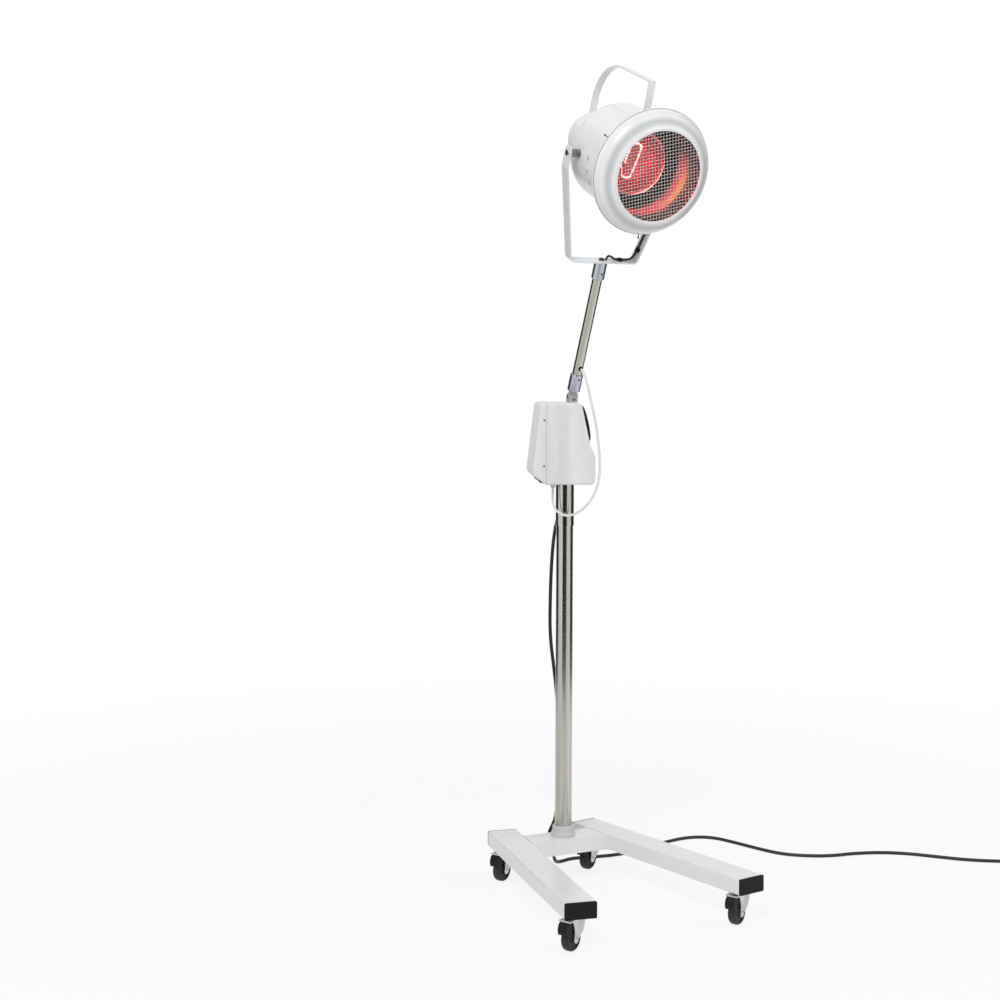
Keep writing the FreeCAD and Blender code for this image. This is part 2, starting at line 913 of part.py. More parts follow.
def make_front_shell():
    body = make_shell("front_shell", front_profile)
    floor = new_sketch(body, "floor_holes", "XY_Plane")
    circle(floor, sleeve_radius + size("mast_fit"))
    circle(floor, gland_radius - 2, *lead_gland_at)
    circle(floor, gland_radius - 2, *flex_gland_at)
    pocket(body, floor, box_wall, reverse=True)
    shaft = free_sketch(body, "shaft_hole", dial_face)
    circle(shaft, size("shaft_radius") + 1)
    pocket(body, shaft, box_wall * 2)
    return node("front_shell", body)


def make_rear_shell():
    body = make_shell("rear_shell", rear_profile)
    opening = free_sketch(body, "switch_hole", Frame().moved(**switch_place))
    half_long = size("switch_long") / 2 + 1.2
    half_wide = size("switch_wide") / 2 + 1.2
    rectangle(opening, -half_long, -half_wide, half_long, half_wide)
    pocket(body, opening, box_wall * 2)
    for index, up in enumerate(shell_screws_up):
        holes = new_sketch(body, "shell_screw_hole_%d" % index)
        circle(holes, size("shell_screw_radius") * 0.6, shell_screw_out, up)
        pocket(body, holes, both_ways=True)
    return node("rear_shell", body)


def make_shell_screws():
    screws = []
    radius = size("shell_screw_radius")
    for side in (-1, 1):
        for index, up in enumerate(shell_screws_up):
            place = box.moved(
                x=shell_screw_out, y=box_wide / 2 * side, z=up, axis=(1, 0, 0), angle=-90 * side)
            name = "shell_screw_%s_%d" % ("near" if side < 0 else "far", index)
            screws.append(screw(
                name, place, radius * 0.6, size("shell_screw_long"), radius, size("shell_screw_head")))
    return group("shell_screws", screws)


def make_clamp():
    """Block on the floor of the box, round the top of the mast's sleeve."""
    body = new_body("mast_clamp_body", box)
    plan = new_sketch(body, "clamp_plan", "XY_Plane", box_wall)
    half_long = size("clamp_thick") / 2
    half_wide = size("clamp_wide") / 2
    rectangle(plan, -half_long, -half_wide, half_long, half_wide)
    pad(body, plan, size("clamp_tall"))
    hole = new_sketch(body, "clamp_bore", "XY_Plane")
    circle(hole, sleeve_radius + size("mast_fit"))
    pocket(body, hole, reverse=True)
    return node("mast_clamp", body)


plate_top = size("plate_thick")
shaft_bore = size("shaft_radius") + fit


def make_timer():
    """Clockwork block behind the face, with a bore for the dial's shaft."""
    body = new_body("timer_body", dial_frame)
    half = size("timer_wide") / 2
    section = new_sketch(body, "timer_section", "XY_Plane", -box_wall)
    rectangle(section, -half, -half, half, half)
    pad(body, section, size("timer_deep"), reverse=True)
    bore = new_sketch(body, "timer_bore", "XY_Plane", -box_wall)
    circle(bore, shaft_bore)
    pocket(body, bore, size("shaft_long"))
    return node("timer_module", body)


def make_dial():
    radius = size("dial_radius")
    foot = plate_top + gap
    top = foot + size("dial_thick")
    body = turned("timer_dial_body", dial_frame, [
        (0, -size("shaft_long")), (size("shaft_radius"), -size("shaft_long")), (size("shaft_radius"), foot),
        (radius, foot), (radius, top - 2), (radius - 2, top),
        Bend((radius * 0.5, top + size("dial_dome") * 0.75)), (2, top + size("dial_dome")),
        (0, top + size("dial_dome")),
    ])
    flute = new_sketch(body, "dial_flute", "XY_Plane", foot)
    circle(flute, size("flute_radius"), radius + 0.4, 0)
    around(body, pocket(body, flute, reverse=True), size("flute_count"))
    return node("timer_dial", body)


def make_switch_frame():
    body = new_body("switch_frame_body", box.moved(**switch_place))
    half_long = size("switch_long") / 2
    half_wide = size("switch_wide") / 2
    rim = size("switch_rim")
    barrel = new_sketch(body, "switch_barrel", "XY_Plane")
    rectangle(barrel, -half_long - 1.2, -half_wide - 1.2, half_long + 1.2, half_wide + 1.2)
    pad(body, barrel, size("switch_deep"), reverse=True)
    flange = new_sketch(body, "switch_flange", "XY_Plane")
    rectangle(flange, -half_long - rim, -half_wide - rim, half_long + rim, half_wide + rim)
    pad(body, flange, rim)
    opening = new_sketch(body, "switch_opening", "XY_Plane", rim)
    rectangle(opening, -half_long, -half_wide, half_long, half_wide)
    pocket(body, opening, size("switch_deep") - 1.5 + rim)
    holes = new_sketch(body, "rocker_pin_holes")
    circle(holes, trunnion_radius + fit, 0, -rocker_deep)
    pocket(body, holes, both_ways=True)
    return node("switch_frame", body)


def make_rocker():
    """Rocker on two trunnions, tilted to one of its two positions."""
    frame = box.moved(**switch_place).moved(z=-rocker_deep, axis=(0, 1, 0), angle=size("rocker_tilt"))
    body = new_body("rocker_body", frame)
    side = new_sketch(body, "rocker_side")
    half = size("switch_long") / 2 - 1.1
    top = rocker_deep + size("switch_rim") + size("rocker_rise") / 2
    outline(side, [(-half, -3), (half, -3), (half, top), Bend((0, top - 1.5)), (-half, top)])
    pad(body, side, size("switch_wide") - 0.8, both_ways=True)
    pins = new_sketch(body, "rocker_pins")
    circle(pins, trunnion_radius)
    pad(body, pins, size("switch_wide") + 1.6, both_ways=True)
    return node("rocker", body)


def make_gland(name, place, cable_radius):
    """Moulded gland in the floor of the box, closed round its cable, which leaves its lower end."""
    body = turned(name + "_body", box.moved(x=place[0], y=place[1]), [
        (0, -gland_long), (cable_radius + 1.2, -gland_long), (gland_radius - 1.5, -2.5), (gland_radius, -2.5),
        (gland_radius, 0), (gland_radius - 2, 0), (gland_radius - 2, box_wall + 3), (0, box_wall + 3),
    ])
    return node(name, body)


make_rear_shell()
make_front_shell()
make_shell_screws()
make_clamp()
make_timer()
node("dial_plate", tube("dial_plate_body", dial_frame, size("plate_radius"), shaft_bore + 0.5, plate_top))
make_dial()
make_switch_frame()
make_rocker()
make_gland("lead_gland", lead_gland_at, size("lead_radius"))
make_gland("flex_gland", flex_gland_at, size("flex_radius"))


# ---- hinge and arm ----------------------------------------------------------------------------

hinge = box.moved(x=hinge_out, z=box_tall, angle=-size("box_heading"))
hinge_up = size("hinge_up")
pin_radius = size("pin_radius")
pivot = hinge.moved(z=hinge_up)
arm = pivot.moved(axis=(1, 0, 0), angle=size("arm_tilt"))
arm_reach = size("arm_reach")
arm_radius = size("arm_radius")
neck_radius = size("neck_radius")
neck_end = size("neck_end")
clasp_radius = size("clasp_radius")
clasp_start = size("clasp_start")
clasp_end = clasp_start + size("clasp_long")
arm_top = arm_reach - gap - size("top_clasp_lid")
lower_set_up = clasp_end - 8
upper_set_up = arm_reach - 22


def make_hinge_base():
    body = new_body("hinge_base_body", hinge)
    flange = new_sketch(body, "hinge_flange", "XY_Plane")
    circle(flange, size("flange_radius"))
    pad(body, flange, size("flange_thick"))
    ear = size("ear_round")
    ears = new_sketch(body, "hinge_ears", "YZ_Plane")
    outline(ears, [(-ear, 1), (ear, 1), (ear, hinge_up), Bend((0, hinge_up + ear)), (-ear, hinge_up)])
    pad(body, ears, size("ear_spread"), both_ways=True)
    slot = new_sketch(body, "hinge_slot")
    half = size("ear_gap") / 2
    rectangle(slot, -half, size("flange_thick"), half, hinge_up + ear + 1)
    pocket(body, slot, both_ways=True)
    hole = new_sketch(body, "hinge_pin_hole", "YZ_Plane")
    circle(hole, pin_radius, 0, hinge_up)
    pocket(body, hole, both_ways=True)
    return node("hinge_base", body)


def make_hinge_pin():
    half = size("ear_spread") / 2
    head = size("pin_head")
    end = half + size("pin_head_thick")
    return node("hinge_pin", turned("hinge_pin_body", pivot.moved(axis=(0, 1, 0), angle=90), [
        (0, -end), (head * 0.7, -end), (head, -half), (pin_radius, -half),
        (pin_radius, half), (head, half), (head * 0.7, end), (0, end),
    ]))


def make_knuckle():
    body = new_body("arm_knuckle_body", arm)
    thick = size("tongue_thick")
    tongue = size("tongue_round")
    eye = new_sketch(body, "knuckle_eye", "YZ_Plane")
    outline(eye, [
        (-tongue, size("neck_start") + 2), (-tongue, 0), Bend((0, -tongue)), (tongue, 0),
        (tongue, size("neck_start") + 2),
    ])
    pad(body, eye, thick, both_ways=True)
    neck = new_sketch(body, "knuckle_neck", "XY_Plane", size("neck_start"))
    circle(neck, neck_radius)
    pad(body, neck, neck_end - size("neck_start"))
    hole = new_sketch(body, "knuckle_pin_hole", "YZ_Plane")
    circle(hole, pin_radius + fit)
    pocket(body, hole, both_ways=True)
    return node("arm_knuckle", body)


def make_arm_tube():
    body = tube("arm_tube_body", arm, arm_radius, arm_radius - size("arm_wall"), arm_top - neck_end, neck_end)
    hole = new_sketch(body, "grommet_hole")
    circle(hole, size("grommet_radius"), 0, size("grommet_up"))
    pocket(body, hole, reverse=True)
    return node("arm_tube", body)


def make_sleeve(name, points, screw_up):
    """A clasp round the arm, with the hole of its set screw on the front."""
    body = turned(name + "_body", arm, points)
    hole = new_sketch(body, name + "_screw_hole")
    circle(hole, size("set_screw_radius"), 0, screw_up)
    pocket(body, hole, reverse=True)
    return node(name, body)


def arm_front(up):
    """On the arm's axis, Z pointing out of the front of the arm."""
    return arm.moved(z=up, axis=(1, 0, 0), angle=90)


def make_arm_screws():
    bolt_long = size("strap_thick") + gap * 2 + size("top_clasp_lid")
    bolt_place = arm.moved(z=arm_reach + size("strap_thick") + gap)
    set_radius = size("set_screw_radius")
    return group("arm_screws", [
        tube_plug("lower_set_screw", arm_front(lower_set_up), set_radius),
        tube_plug("upper_set_screw", arm_front(upper_set_up), set_radius),
        screw("yoke_bolt", bolt_place, size("bolt_radius"), bolt_long, size("bolt_head"), size("bolt_head_thick")),
    ])


def tube_plug(name, frame, radius):
    """A grub screw from the arm's surface to just above the clasp's."""
    return turned(name, frame, [
        (0, arm_radius), (radius, arm_radius), (radius, clasp_radius + 0.4), (0, clasp_radius + 0.6),
    ])


make_hinge_base()
make_hinge_pin()
make_knuckle()
make_sleeve("lower_sleeve", [
    (neck_radius, clasp_start), (clasp_radius - 1, clasp_start), (clasp_radius, clasp_start + 1),
    (clasp_radius, clasp_end - 1), (clasp_radius - 1, clasp_end), (arm_radius, clasp_end),
    (arm_radius, neck_end), (neck_radius, neck_end),
], lower_set_up)
make_arm_tube()
top_end = arm_reach - gap
top_start = top_end - size("top_clasp_long")
make_sleeve("upper_sleeve", [
    (arm_radius, top_start), (clasp_radius - 1, top_start), (clasp_radius, top_start + 1),
    (clasp_radius, top_end), (size("bolt_radius"), top_end), (size("bolt_radius"), arm_top), (arm_radius, arm_top),
], upper_set_up)
grommet_radius = size("grommet_radius")
grommet_face = arm_radius + 1.5
node("grommet", turned("grommet_body", arm_front(size("grommet_up")), [
    (0, arm_radius - 1.4), (grommet_radius, arm_radius - 1.4), (grommet_radius, arm_radius + 0.5),
    (grommet_radius - 1, grommet_face), (0, grommet_face),
]))
make_arm_screws()


# ---- yoke -------------------------------------------------------------------------------------

yoke = arm.moved(z=arm_reach)
strap_thick = size("strap_thick")
yoke_half = size("yoke_half")
yoke_splay = size("yoke_splay")
yoke_bend = size("yoke_bend")
yoke_height = size("yoke_height")
yoke_top = yoke_height + size("yoke_over")
leg_out = yoke_half + yoke_bend * tangent(yoke_splay)
leg_in = leg_out - strap_thick
cable_radius = size("yoke_cable_radius")
CABLE_HOLE = (9.5, 0)


def make_strap():
    body = new_body("yoke_strap_body", yoke)
    corner = yoke_half - strap_thick * (1 - sine(yoke_splay)) / cosine(yoke_splay)
    bend_in = yoke_bend + (strap_thick / cosine(yoke_splay) - strap_thick) / tangent(yoke_splay)
    right = [(yoke_half, 0), (leg_out, yoke_bend), (leg_out, yoke_top)]
    inside = [(leg_in, yoke_top), (leg_in, bend_in), (corner, strap_thick)]
    mirrored = [(-x, z) for x, z in reversed(right + inside)]
    front = new_sketch(body, "strap_front")
    outline(front, right + inside + mirrored)
    pad(body, front, size("strap_wide"), both_ways=True)
    outer_round = size("yoke_round")
    for reach, radius in ((yoke_half, outer_round), (corner, outer_round - strap_thick)):
        rounded(body, radius, lambda edge: is_across(edge, reach, strap_thick / 2, 2))
    rounded(body, size("strap_wide") / 2 - 0.5, lambda edge: is_tip(edge))
    holes = new_sketch(body, "strap_bar_holes", "XY_Plane", strap_thick)
    circle(holes, size("bolt_radius") + fit)
    circle(holes, cable_radius, *CABLE_HOLE)
    pocket(body, holes, strap_thick)
    pivots = new_sketch(body, "strap_pivot_holes", "YZ_Plane")
    circle(pivots, size("pivot_radius"), 0, yoke_height)
    pocket(body, pivots, both_ways=True)
    return node("yoke_strap", body)


def is_across(edge, reach, up, slack):
    """An edge from front to back at one distance out and near one height."""
    centre = edge.BoundBox.Center
    whole = abs(edge.Length - number(size("strap_wide"))) < 0.01
    return whole and abs(abs(centre.x) - number(reach)) < 0.01 and abs(centre.z - number(up)) < slack


def is_tip(edge):
    """One of the four short edges at the tips of the strap."""
    short = abs(edge.Length - number(strap_thick)) < 0.01
    return short and abs(edge.BoundBox.Center.z - number(yoke_top)) < 0.01


def make_clip(name, frame):
    """Saddle that holds the cable down, its feet on the strap."""
    body = new_body(name, frame)
    side = new_sketch(body, name + "_side", "YZ_Plane")
    foot = strap_thick + 1.2
    inner = cable_radius + size("clip_ease")
    outer = inner + 1.2
    middle = strap_thick + cable_radius
    outline(side, [
        (-7, strap_thick), (-inner, strap_thick), (-inner, middle),
        Bend((0, middle + inner)), (inner, middle), (inner, strap_thick),
        (7, strap_thick), (7, foot), (outer, foot), (outer, middle),
        Bend((0, middle + outer)), (-outer, middle), (-outer, foot), (-7, foot),
    ])
    pad(body, side, 8, both_ways=True)
    return body


leg = yoke.moved(x=yoke_half, axis=(0, 1, 0), angle=yoke_splay - 90)
drum_radius = size("drum_radius")
drum_wall = size("drum_wall")
spacer_radius = size("spacer_radius")
pivot_radius = size("pivot_radius")


def pivot_frame(side):
    """On the tilt axis, Z pointing out to one leg; 1 is the right leg."""
    return yoke.moved(z=yoke_height, axis=(0, 1, 0), angle=90 * side)


def make_pivot_screw(name, side):
    """Screw through the leg, spacer and drum wall, with its nut inside the drum."""
    nut_out = drum_radius - drum_wall - gap
    nut_in = nut_out - size("nut_thick")
    head = size("pivot_head")
    return turned(name, pivot_frame(side), [
        (0, nut_in), (size("nut_radius"), nut_in), (size("nut_radius"), nut_out), (pivot_radius, nut_out),
        (pivot_radius, leg_out), (head, leg_out), (head * 0.8, leg_out + 1.6), (0, leg_out + 1.6),
    ])


def make_spacer(name, side):
    start = drum_radius + gap
    return tube(name, pivot_frame(side), spacer_radius, pivot_radius, leg_in - start, start)


make_strap()
group("cable_clips", [
    make_clip("bar_clip", yoke.moved(x=39.5)),
    make_clip("leg_clip", leg.moved(x=26)),
])
group("pivot_spacers", [make_spacer("spacer_left", -1), make_spacer("spacer_right", 1)])
group("pivot_screws", [make_pivot_screw("pivot_screw_left", -1), make_pivot_screw("pivot_screw_right", 1)])


# ---- head -------------------------------------------------------------------------------------

head = yoke.moved(z=yoke_height, axis=(1, 0, 0), angle=90 + size("head_pitch") - size("arm_tilt"))
drum_front = size("drum_front")
drum_back = -size("drum_back")
drum_round = size("drum_round")
back_hole = size("back_hole")
SLOT_SWEEP = 45


def quarter(radius, back, corner):
    """Middle of the arc that turns from a wall of the radius into a back face."""
    return Bend((radius - corner * 0.2929, back + corner * 0.2929))


def make_drum():
    inner = drum_radius - drum_wall
    body = turned("drum_body", head, [
        (drum_radius, drum_front), (drum_radius, drum_back + drum_round),
        quarter(drum_radius, drum_back, drum_round), (drum_radius - drum_round, drum_back),
        (back_hole, drum_back), (back_hole, drum_back + drum_wall),
        (drum_radius - drum_round, drum_back + drum_wall),
        quarter(inner, drum_back + drum_wall, drum_round - drum_wall),
        (inner, drum_back + drum_round), (inner, drum_front),
    ])
    half_long = size("slot_long") / 2
    half_wide = size("slot_wide") / 2
    middle = size("slot_at")
    for side in ("left", "right"):
        on_right = side == "right"
        slot = new_sketch(body, "vent_slot_" + side, "YZ_Plane")
        rectangle(slot, -half_long, middle - half_wide, half_long, middle + half_wide)
        cut = pocket(body, slot, reverse=on_right)
        around(body, cut, size("slot_count"), SLOT_SWEEP, clockwise=on_right)
    pivots = new_sketch(body, "drum_pivot_holes", "YZ_Plane")
    circle(pivots, pivot_radius + fit)
    pocket(body, pivots, both_ways=True)
    return node("drum", body)


cap_radius = size("cap_radius")
cap_end = -size("cap_end")
cap_round = size("cap_round")
post_radius = size("post_radius")
bulb_neck_at = -size("bulb_neck_at")
holder_front = bulb_neck_at - 5
holder_back = holder_front - size("holder_long")


def make_rear_cap():
    """Cap over the hole in the drum's back, with the post that carries the lampholder."""
    inner = cap_radius - drum_wall
    rim = drum_back - drum_wall
    back = cap_end + drum_wall
    body = turned("rear_cap_body", head, [
        (size("cap_rim"), drum_back), (size("cap_rim"), rim), (cap_radius, rim),
        (cap_radius, cap_end + cap_round), quarter(cap_radius, cap_end, cap_round),
        (cap_radius - cap_round, cap_end), (0, cap_end), (0, holder_back), (post_radius, holder_back),
        (post_radius, back), (cap_radius - cap_round, back),
        quarter(inner, back, cap_round - drum_wall), (inner, cap_end + cap_round), (inner, drum_back),
    ])
    slot = new_sketch(body, "louvre_slot", "YZ_Plane")
    middle = (rim + cap_end + cap_round) / 2
    half_wide = size("louvre_wide") / 2
    half_long = size("louvre_long") / 2
    rectangle(slot, -half_wide, middle - half_long, half_wide, middle + half_long)
    around(body, pocket(body, slot, reverse=True), size("louvre_count"))
    return node("rear_cap", body)


ring_radius = size("ring_radius")
ring_thick = size("ring_thick")
aperture_at = size("aperture_at")
aperture = size("aperture_radius")


def make_ring():
    skirt = drum_radius + ring_thick
    back = drum_front - ring_thick
    inner = ring_radius - ring_thick
    bezel = ring_radius - size("bezel_wide")
    step = bezel - size("bezel_step")
    body = turned("front_ring_body", head, [
        (drum_radius, back - size("ring_skirt")), (skirt, back - size("ring_skirt")), (skirt, back),
        (ring_radius - 2, back), Bend((ring_radius - 0.6, back + 0.6)), (ring_radius, back + 2),
        (ring_radius, drum_front + 4), Bend((ring_radius - 3.5, drum_front + 13)),
        (bezel, aperture_at - 10), (step, aperture_at - 9),
        (aperture + 4, aperture_at), (aperture, aperture_at), (aperture, aperture_at - ring_thick),
        (aperture + 3.5, aperture_at - ring_thick), (step - 0.8, aperture_at - 10.4),
        (bezel - 1, aperture_at - 11.4),
        Bend((inner - 3.2, drum_front + 12.2)), (inner, drum_front + 4), (inner, drum_front),
        (drum_radius, drum_front),
    ])
    return node("front_ring", body)


def make_mesh():
    """Guard of two layers of straight wires that touch, inside a flat rim behind the ring's lip."""
    radius = size("wire_radius")
    outer = aperture + 3
    reach = aperture + 1.5
    top = aperture_at - ring_thick
    rim = tube("mesh_rim_body", head, outer, aperture + 0.5, radius * 4, top - radius * 4)
    pieces = [rim]
    pitch = size("mesh_pitch")
    wires = int(number(reach) / number(pitch))
    for layer in (0, 1):
        up = top - radius * (1 + 2 * layer)
        turn = size("mesh_turn") + 90 * layer
        for index in range(-wires, wires + 1):
            away = pitch * index
            half = Size(
                math.sqrt(number(reach) ** 2 - number(away) ** 2),
                "sqrt(pow(%s; 2) - pow(%s; 2))" % (words(reach), words(away)))
            wire = doc.addObject("Part::Cylinder", "mesh_wire")
            wire.Radius = number(radius)
            wire.setExpression("Radius", radius.text)
            wire.Height = number(half * 2)
            wire.setExpression("Height", (half * 2).text)
            frame = head.moved(z=up, angle=turn).moved(x=-half, y=away, axis=(0, 1, 0), angle=90)
            wire.Placement = frame.placement
            wire.setExpression("Placement", frame.text)
            pieces.append(wire)
    return group("mesh", pieces)


def make_liner():
    outer = size("liner_radius")
    wall = size("liner_wall")
    rim = aperture_at - ring_thick - size("wire_radius") * 4
    bowl = size("liner_bowl_at")
    swell = outer - size("liner_swell")
    hole = size("liner_hole")
    back = -size("liner_back")
    return node("reflector_liner", turned("liner_body", head, [
        (outer, rim), (outer, bowl), Bend((swell, bowl + back)), (hole, back), (hole, back + wall),
        Bend((swell - wall * 0.8, bowl + back + wall * 0.8)), (outer - wall, bowl), (outer - wall, rim),
    ]))


bulb_radius = size("bulb_radius")
bulb_wide_at = size("bulb_wide_at")
bulb_neck = size("bulb_neck")
bulb_glass = size("bulb_glass")
screw_cap_end = bulb_neck_at - size("screw_cap_long")


def bulb_half(inset):
    """Half outline of the bulb's glass from the crown to the neck, drawn in by inset."""
    crown = bulb_wide_at + size("bulb_lens")
    return [
        (0, crown - inset), (2, crown - inset), Bend((bulb_radius * 0.5, crown - inset - 3.5)),
        (bulb_radius - 4.5 - inset * 0.5, bulb_wide_at + 8 - inset * 0.9),
        Bend((bulb_radius - 0.6 - inset, bulb_wide_at + 3)), (bulb_radius - 1.2 - inset, bulb_wide_at - 5),
        Bend((bulb_radius - 18 - inset * 0.85, bulb_wide_at - 40)),
        (bulb_neck + 5 - inset * 0.8, bulb_neck_at + 14),
        (bulb_neck - inset, bulb_neck_at),
    ]


def make_bulb():
    outside = bulb_half(0)
    inside = list(reversed(bulb_half(bulb_glass)))
    return node("bulb_glass", turned("bulb_glass_body", head, outside + inside))


cap = size("screw_cap_radius")
holder = size("holder_radius")


def make_holder():
    return node("lampholder", turned("lampholder_body", head, [
        (cap, holder_front), (holder - 2, holder_front), (holder, holder_front - 2), (holder, holder_back + 10),
        (holder - 5, holder_back), (0, holder_back), (0, screw_cap_end), (cap, screw_cap_end),
    ]))


handle_rise = size("handle_rise")
handle_front = size("handle_front")
handle_thick = size("handle_thick")
handle_round = size("handle_round")
handle_back = cap_end
handle_foot_low = size("handle_foot_low")
arc_start = handle_back - handle_thick + handle_round
arc_low = handle_rise - handle_round
trim_radius = size("trim_screw_radius")


def make_handle():
    body = new_body("handle_body", head)
    side = new_sketch(body, "handle_side", "YZ_Plane")
    back = handle_back - handle_thick
    inner = handle_round - handle_thick
    bend = 0.2929
    foot_end = handle_front + size("handle_foot")
    outline(side, [
        (drum_radius, foot_end), (drum_radius, handle_front), (handle_rise - handle_thick, handle_front),
        (handle_rise - handle_thick, arc_start),
        Bend((handle_rise - handle_thick - inner * bend, handle_back + inner * bend)),
        (arc_low, handle_back), (handle_foot_low, handle_back), (handle_foot_low, back), (arc_low, back),
        Bend((handle_rise - handle_round * bend, back + handle_round * bend)),
        (handle_rise, arc_start), (handle_rise, handle_front + handle_thick),
        (drum_radius + handle_thick, handle_front + handle_thick), (drum_radius + handle_thick, foot_end),
    ])
    pad(body, side, size("handle_wide"), both_ways=True)
    top_hole = new_sketch(body, "handle_top_hole", "XZ_Plane")
    circle(top_hole, trim_radius, 0, foot_end - 5)
    pocket(body, top_hole)
    back_hole_sketch = new_sketch(body, "handle_back_hole", "XY_Plane")
    circle(back_hole_sketch, trim_radius, 0, handle_foot_low + 6)
    pocket(body, back_hole_sketch)
    return node("handle", body)


RING_PINS = (150, 270)


def make_ring_pin(name, turn):
    """Pin that stands out of the ring's bead, with a ball on its end."""
    radius = size("ring_pin_radius")
    ball = size("ring_pin_ball")
    out = ring_radius + size("ring_pin_out")
    frame = head.moved(angle=turn).moved(z=drum_front + 2, axis=(0, 1, 0), angle=90)
    return turned(name, frame, [
        (0, ring_radius), (radius, ring_radius), (radius, out - ball * 1.85),
        Bend((ball, out - ball)), (0.4, out), (0, out),
    ])


def make_head_screws():
    top = head.moved(y=drum_radius + handle_thick, z=handle_front + size("handle_foot") - 5, axis=(1, 0, 0), angle=-90)
    rear = head.moved(y=handle_foot_low + 6, z=handle_back - handle_thick, axis=(1, 0, 0), angle=180)
    screws = [
        screw("handle_top_screw", top, trim_radius, handle_thick, trim_radius * 2, 2),
        screw("handle_rear_screw", rear, trim_radius, handle_thick, trim_radius * 2, 2),
    ]
    for turn in RING_PINS:
        screws.append(make_ring_pin("ring_pin_%d" % turn, turn))
    return group("head_screws", screws)


make_drum()
make_rear_cap()
make_ring()
make_mesh()
make_liner()
make_bulb()
node("bulb_screw_cap", turned("bulb_cap_body", head, [
    (0, bulb_neck_at), (bulb_neck, bulb_neck_at), (cap, bulb_neck_at - 5),
    (cap, screw_cap_end + 3), (5, screw_cap_end), (0, screw_cap_end),
]))
make_holder()
make_handle()
make_head_screws()


# ---- cords ------------------------------------------------------------------------------------

lead_radius = size("lead_radius")
coil_radius = size("coil_radius")
COIL_AT = (960, -372)

# Hand-chosen routes, from the gland to the coil, from the coil to the plug, and of the two others.
LEAD_ROUTE = [
    (9.6, 30.6, 784), (9, 31.3, 758), (3.5, 33.6, 728), (-4.5, 37, 690), (-8, 41, 630), (-9, 44, 560),
    (-8.8, 45, 480), (2.5, 43, 400), (9.5, 43, 330), (9.5, 43.5, 230), (8, 45, 165), (-1, 49.5, 122),
    (-8, 54.5, 88), (-3, 62, 46), (14, 84, 14), (46, 106, 3.6), (85, 120, 3.6), (124, 111, 3.6), (165, 104, 3.6),
    (206, 105, 3.6), (256, 122, 3.6), (329, 145, 3.6), (391, 157, 3.6), (438, 135, 3.6), (460, 74, 3.6),
    (482, 0, 3.6), (503, -44, 3.6), (543, -76, 3.6), (588, -95, 3.6), (640, -99, 3.6), (700, -119, 3.6),
    (745, -152, 3.6), (779, -191, 3.6), (824, -240, 3.6), (876, -275, 3.6), (932, -303, 3.6), (983, -335, 3.6),
]
TAIL_ROUTE = [(996.9, -395, 3.6), (986.5, -412, 4), (972, -428, 8), (956, -442, 9.2)]
FLEX_ROUTE = [
    (12.6, -41.8, 1019.7), (13.5, -52, 1013), (17.5, -57.5, 994), (24, -59, 963), (31.5, -62, 930),
    (38.4, -65, 887), (42.8, -67.7, 830), (38, -65.5, 787), (24, -57.5, 756), (5, -43.5, 735),
    (-14, -29, 729), (-28, -17, 738), (-32, -10, 752), (-31.4, -7, 768), (-31, -6.5, 784),
]
YOKE_ROUTE = [
    (9.5, 0, 0.4), (9.6, 0, 8), (14.5, -0.1, 12.5), (20.8, -0.3, 10), (27, -0.4, 6.3), (34, 0, 5.2),
    (49, 0.2, 5.2), (65, 0, 6.4), (72.2, 0, 19.2), (79, 0.3, 43.5), (87, -0.2, 76), (97, 0.3, 113),
    (107, 0, 152), (115, 0, 184), (115.9, 0, 205.6),
]


def cord(label, points, radius):
    """A tube along straight runs joined by arcs, each as large as its two runs allow."""
    spots = [Vector(*point) for point in points]
    edges = []
    radii = []
    start = spots[0]
    for before, corner, after in zip(spots, spots[1:], spots[2:]):
        arriving = (corner - before).normalize()
        leaving = (after - corner).normalize()
        half_turn = arriving.getAngle(leaving) / 2
        reach = 0.45 * min((corner - before).Length, (after - corner).Length)
        arc_radius = reach / math.tan(half_turn)
        radii.append(arc_radius)
        enters = corner - arriving * reach
        leaves = corner + leaving * reach
        inward = (leaving - arriving).normalize()
        middle = corner + inward * (arc_radius / math.cos(half_turn) - arc_radius)
        edges.append(Part.LineSegment(start, enters).toShape())
        edges.append(Part.Arc(enters, middle, leaves).toShape())
        start = leaves
    edges.append(Part.LineSegment(start, spots[-1]).toShape())
    path = Part.Wire(edges)
    section = Part.Wire(Part.makeCircle(radius, spots[0], spots[1] - spots[0]))
    solid = path.makePipeShell([section], True, False)
    wanted = math.pi * radius ** 2 * path.Length
    print("%s: length %.0f, least radius %.1f diameters, volume %.4f of section times length" % (
        label, path.Length, min(radii) / (2 * radius), solid.Volume / wanted))
    return drawn(label, solid)


def in_world(frame, points):
    return [frame.point(*point) for point in points]


cord("mains_lead", LEAD_ROUTE, number(lead_radius))
cord("lead_tail", TAIL_ROUTE, number(lead_radius))
cord("flex_cable", FLEX_ROUTE, number(size("flex_radius")))
cord("yoke_cable", in_world(yoke, YOKE_ROUTE), number(cable_radius))
node("lead_coil", tube(
    "coil_body", world.moved(x=COIL_AT[0], y=COIL_AT[1]), coil_radius + lead_radius * 2,
    coil_radius - lead_radius * 2, lead_radius * 4))

plug = world.moved(*TAIL_ROUTE[-1], angle=221).moved(axis=(0, 1, 0), angle=90)
relief_long = size("relief_long")
plug_long = size("plug_long")


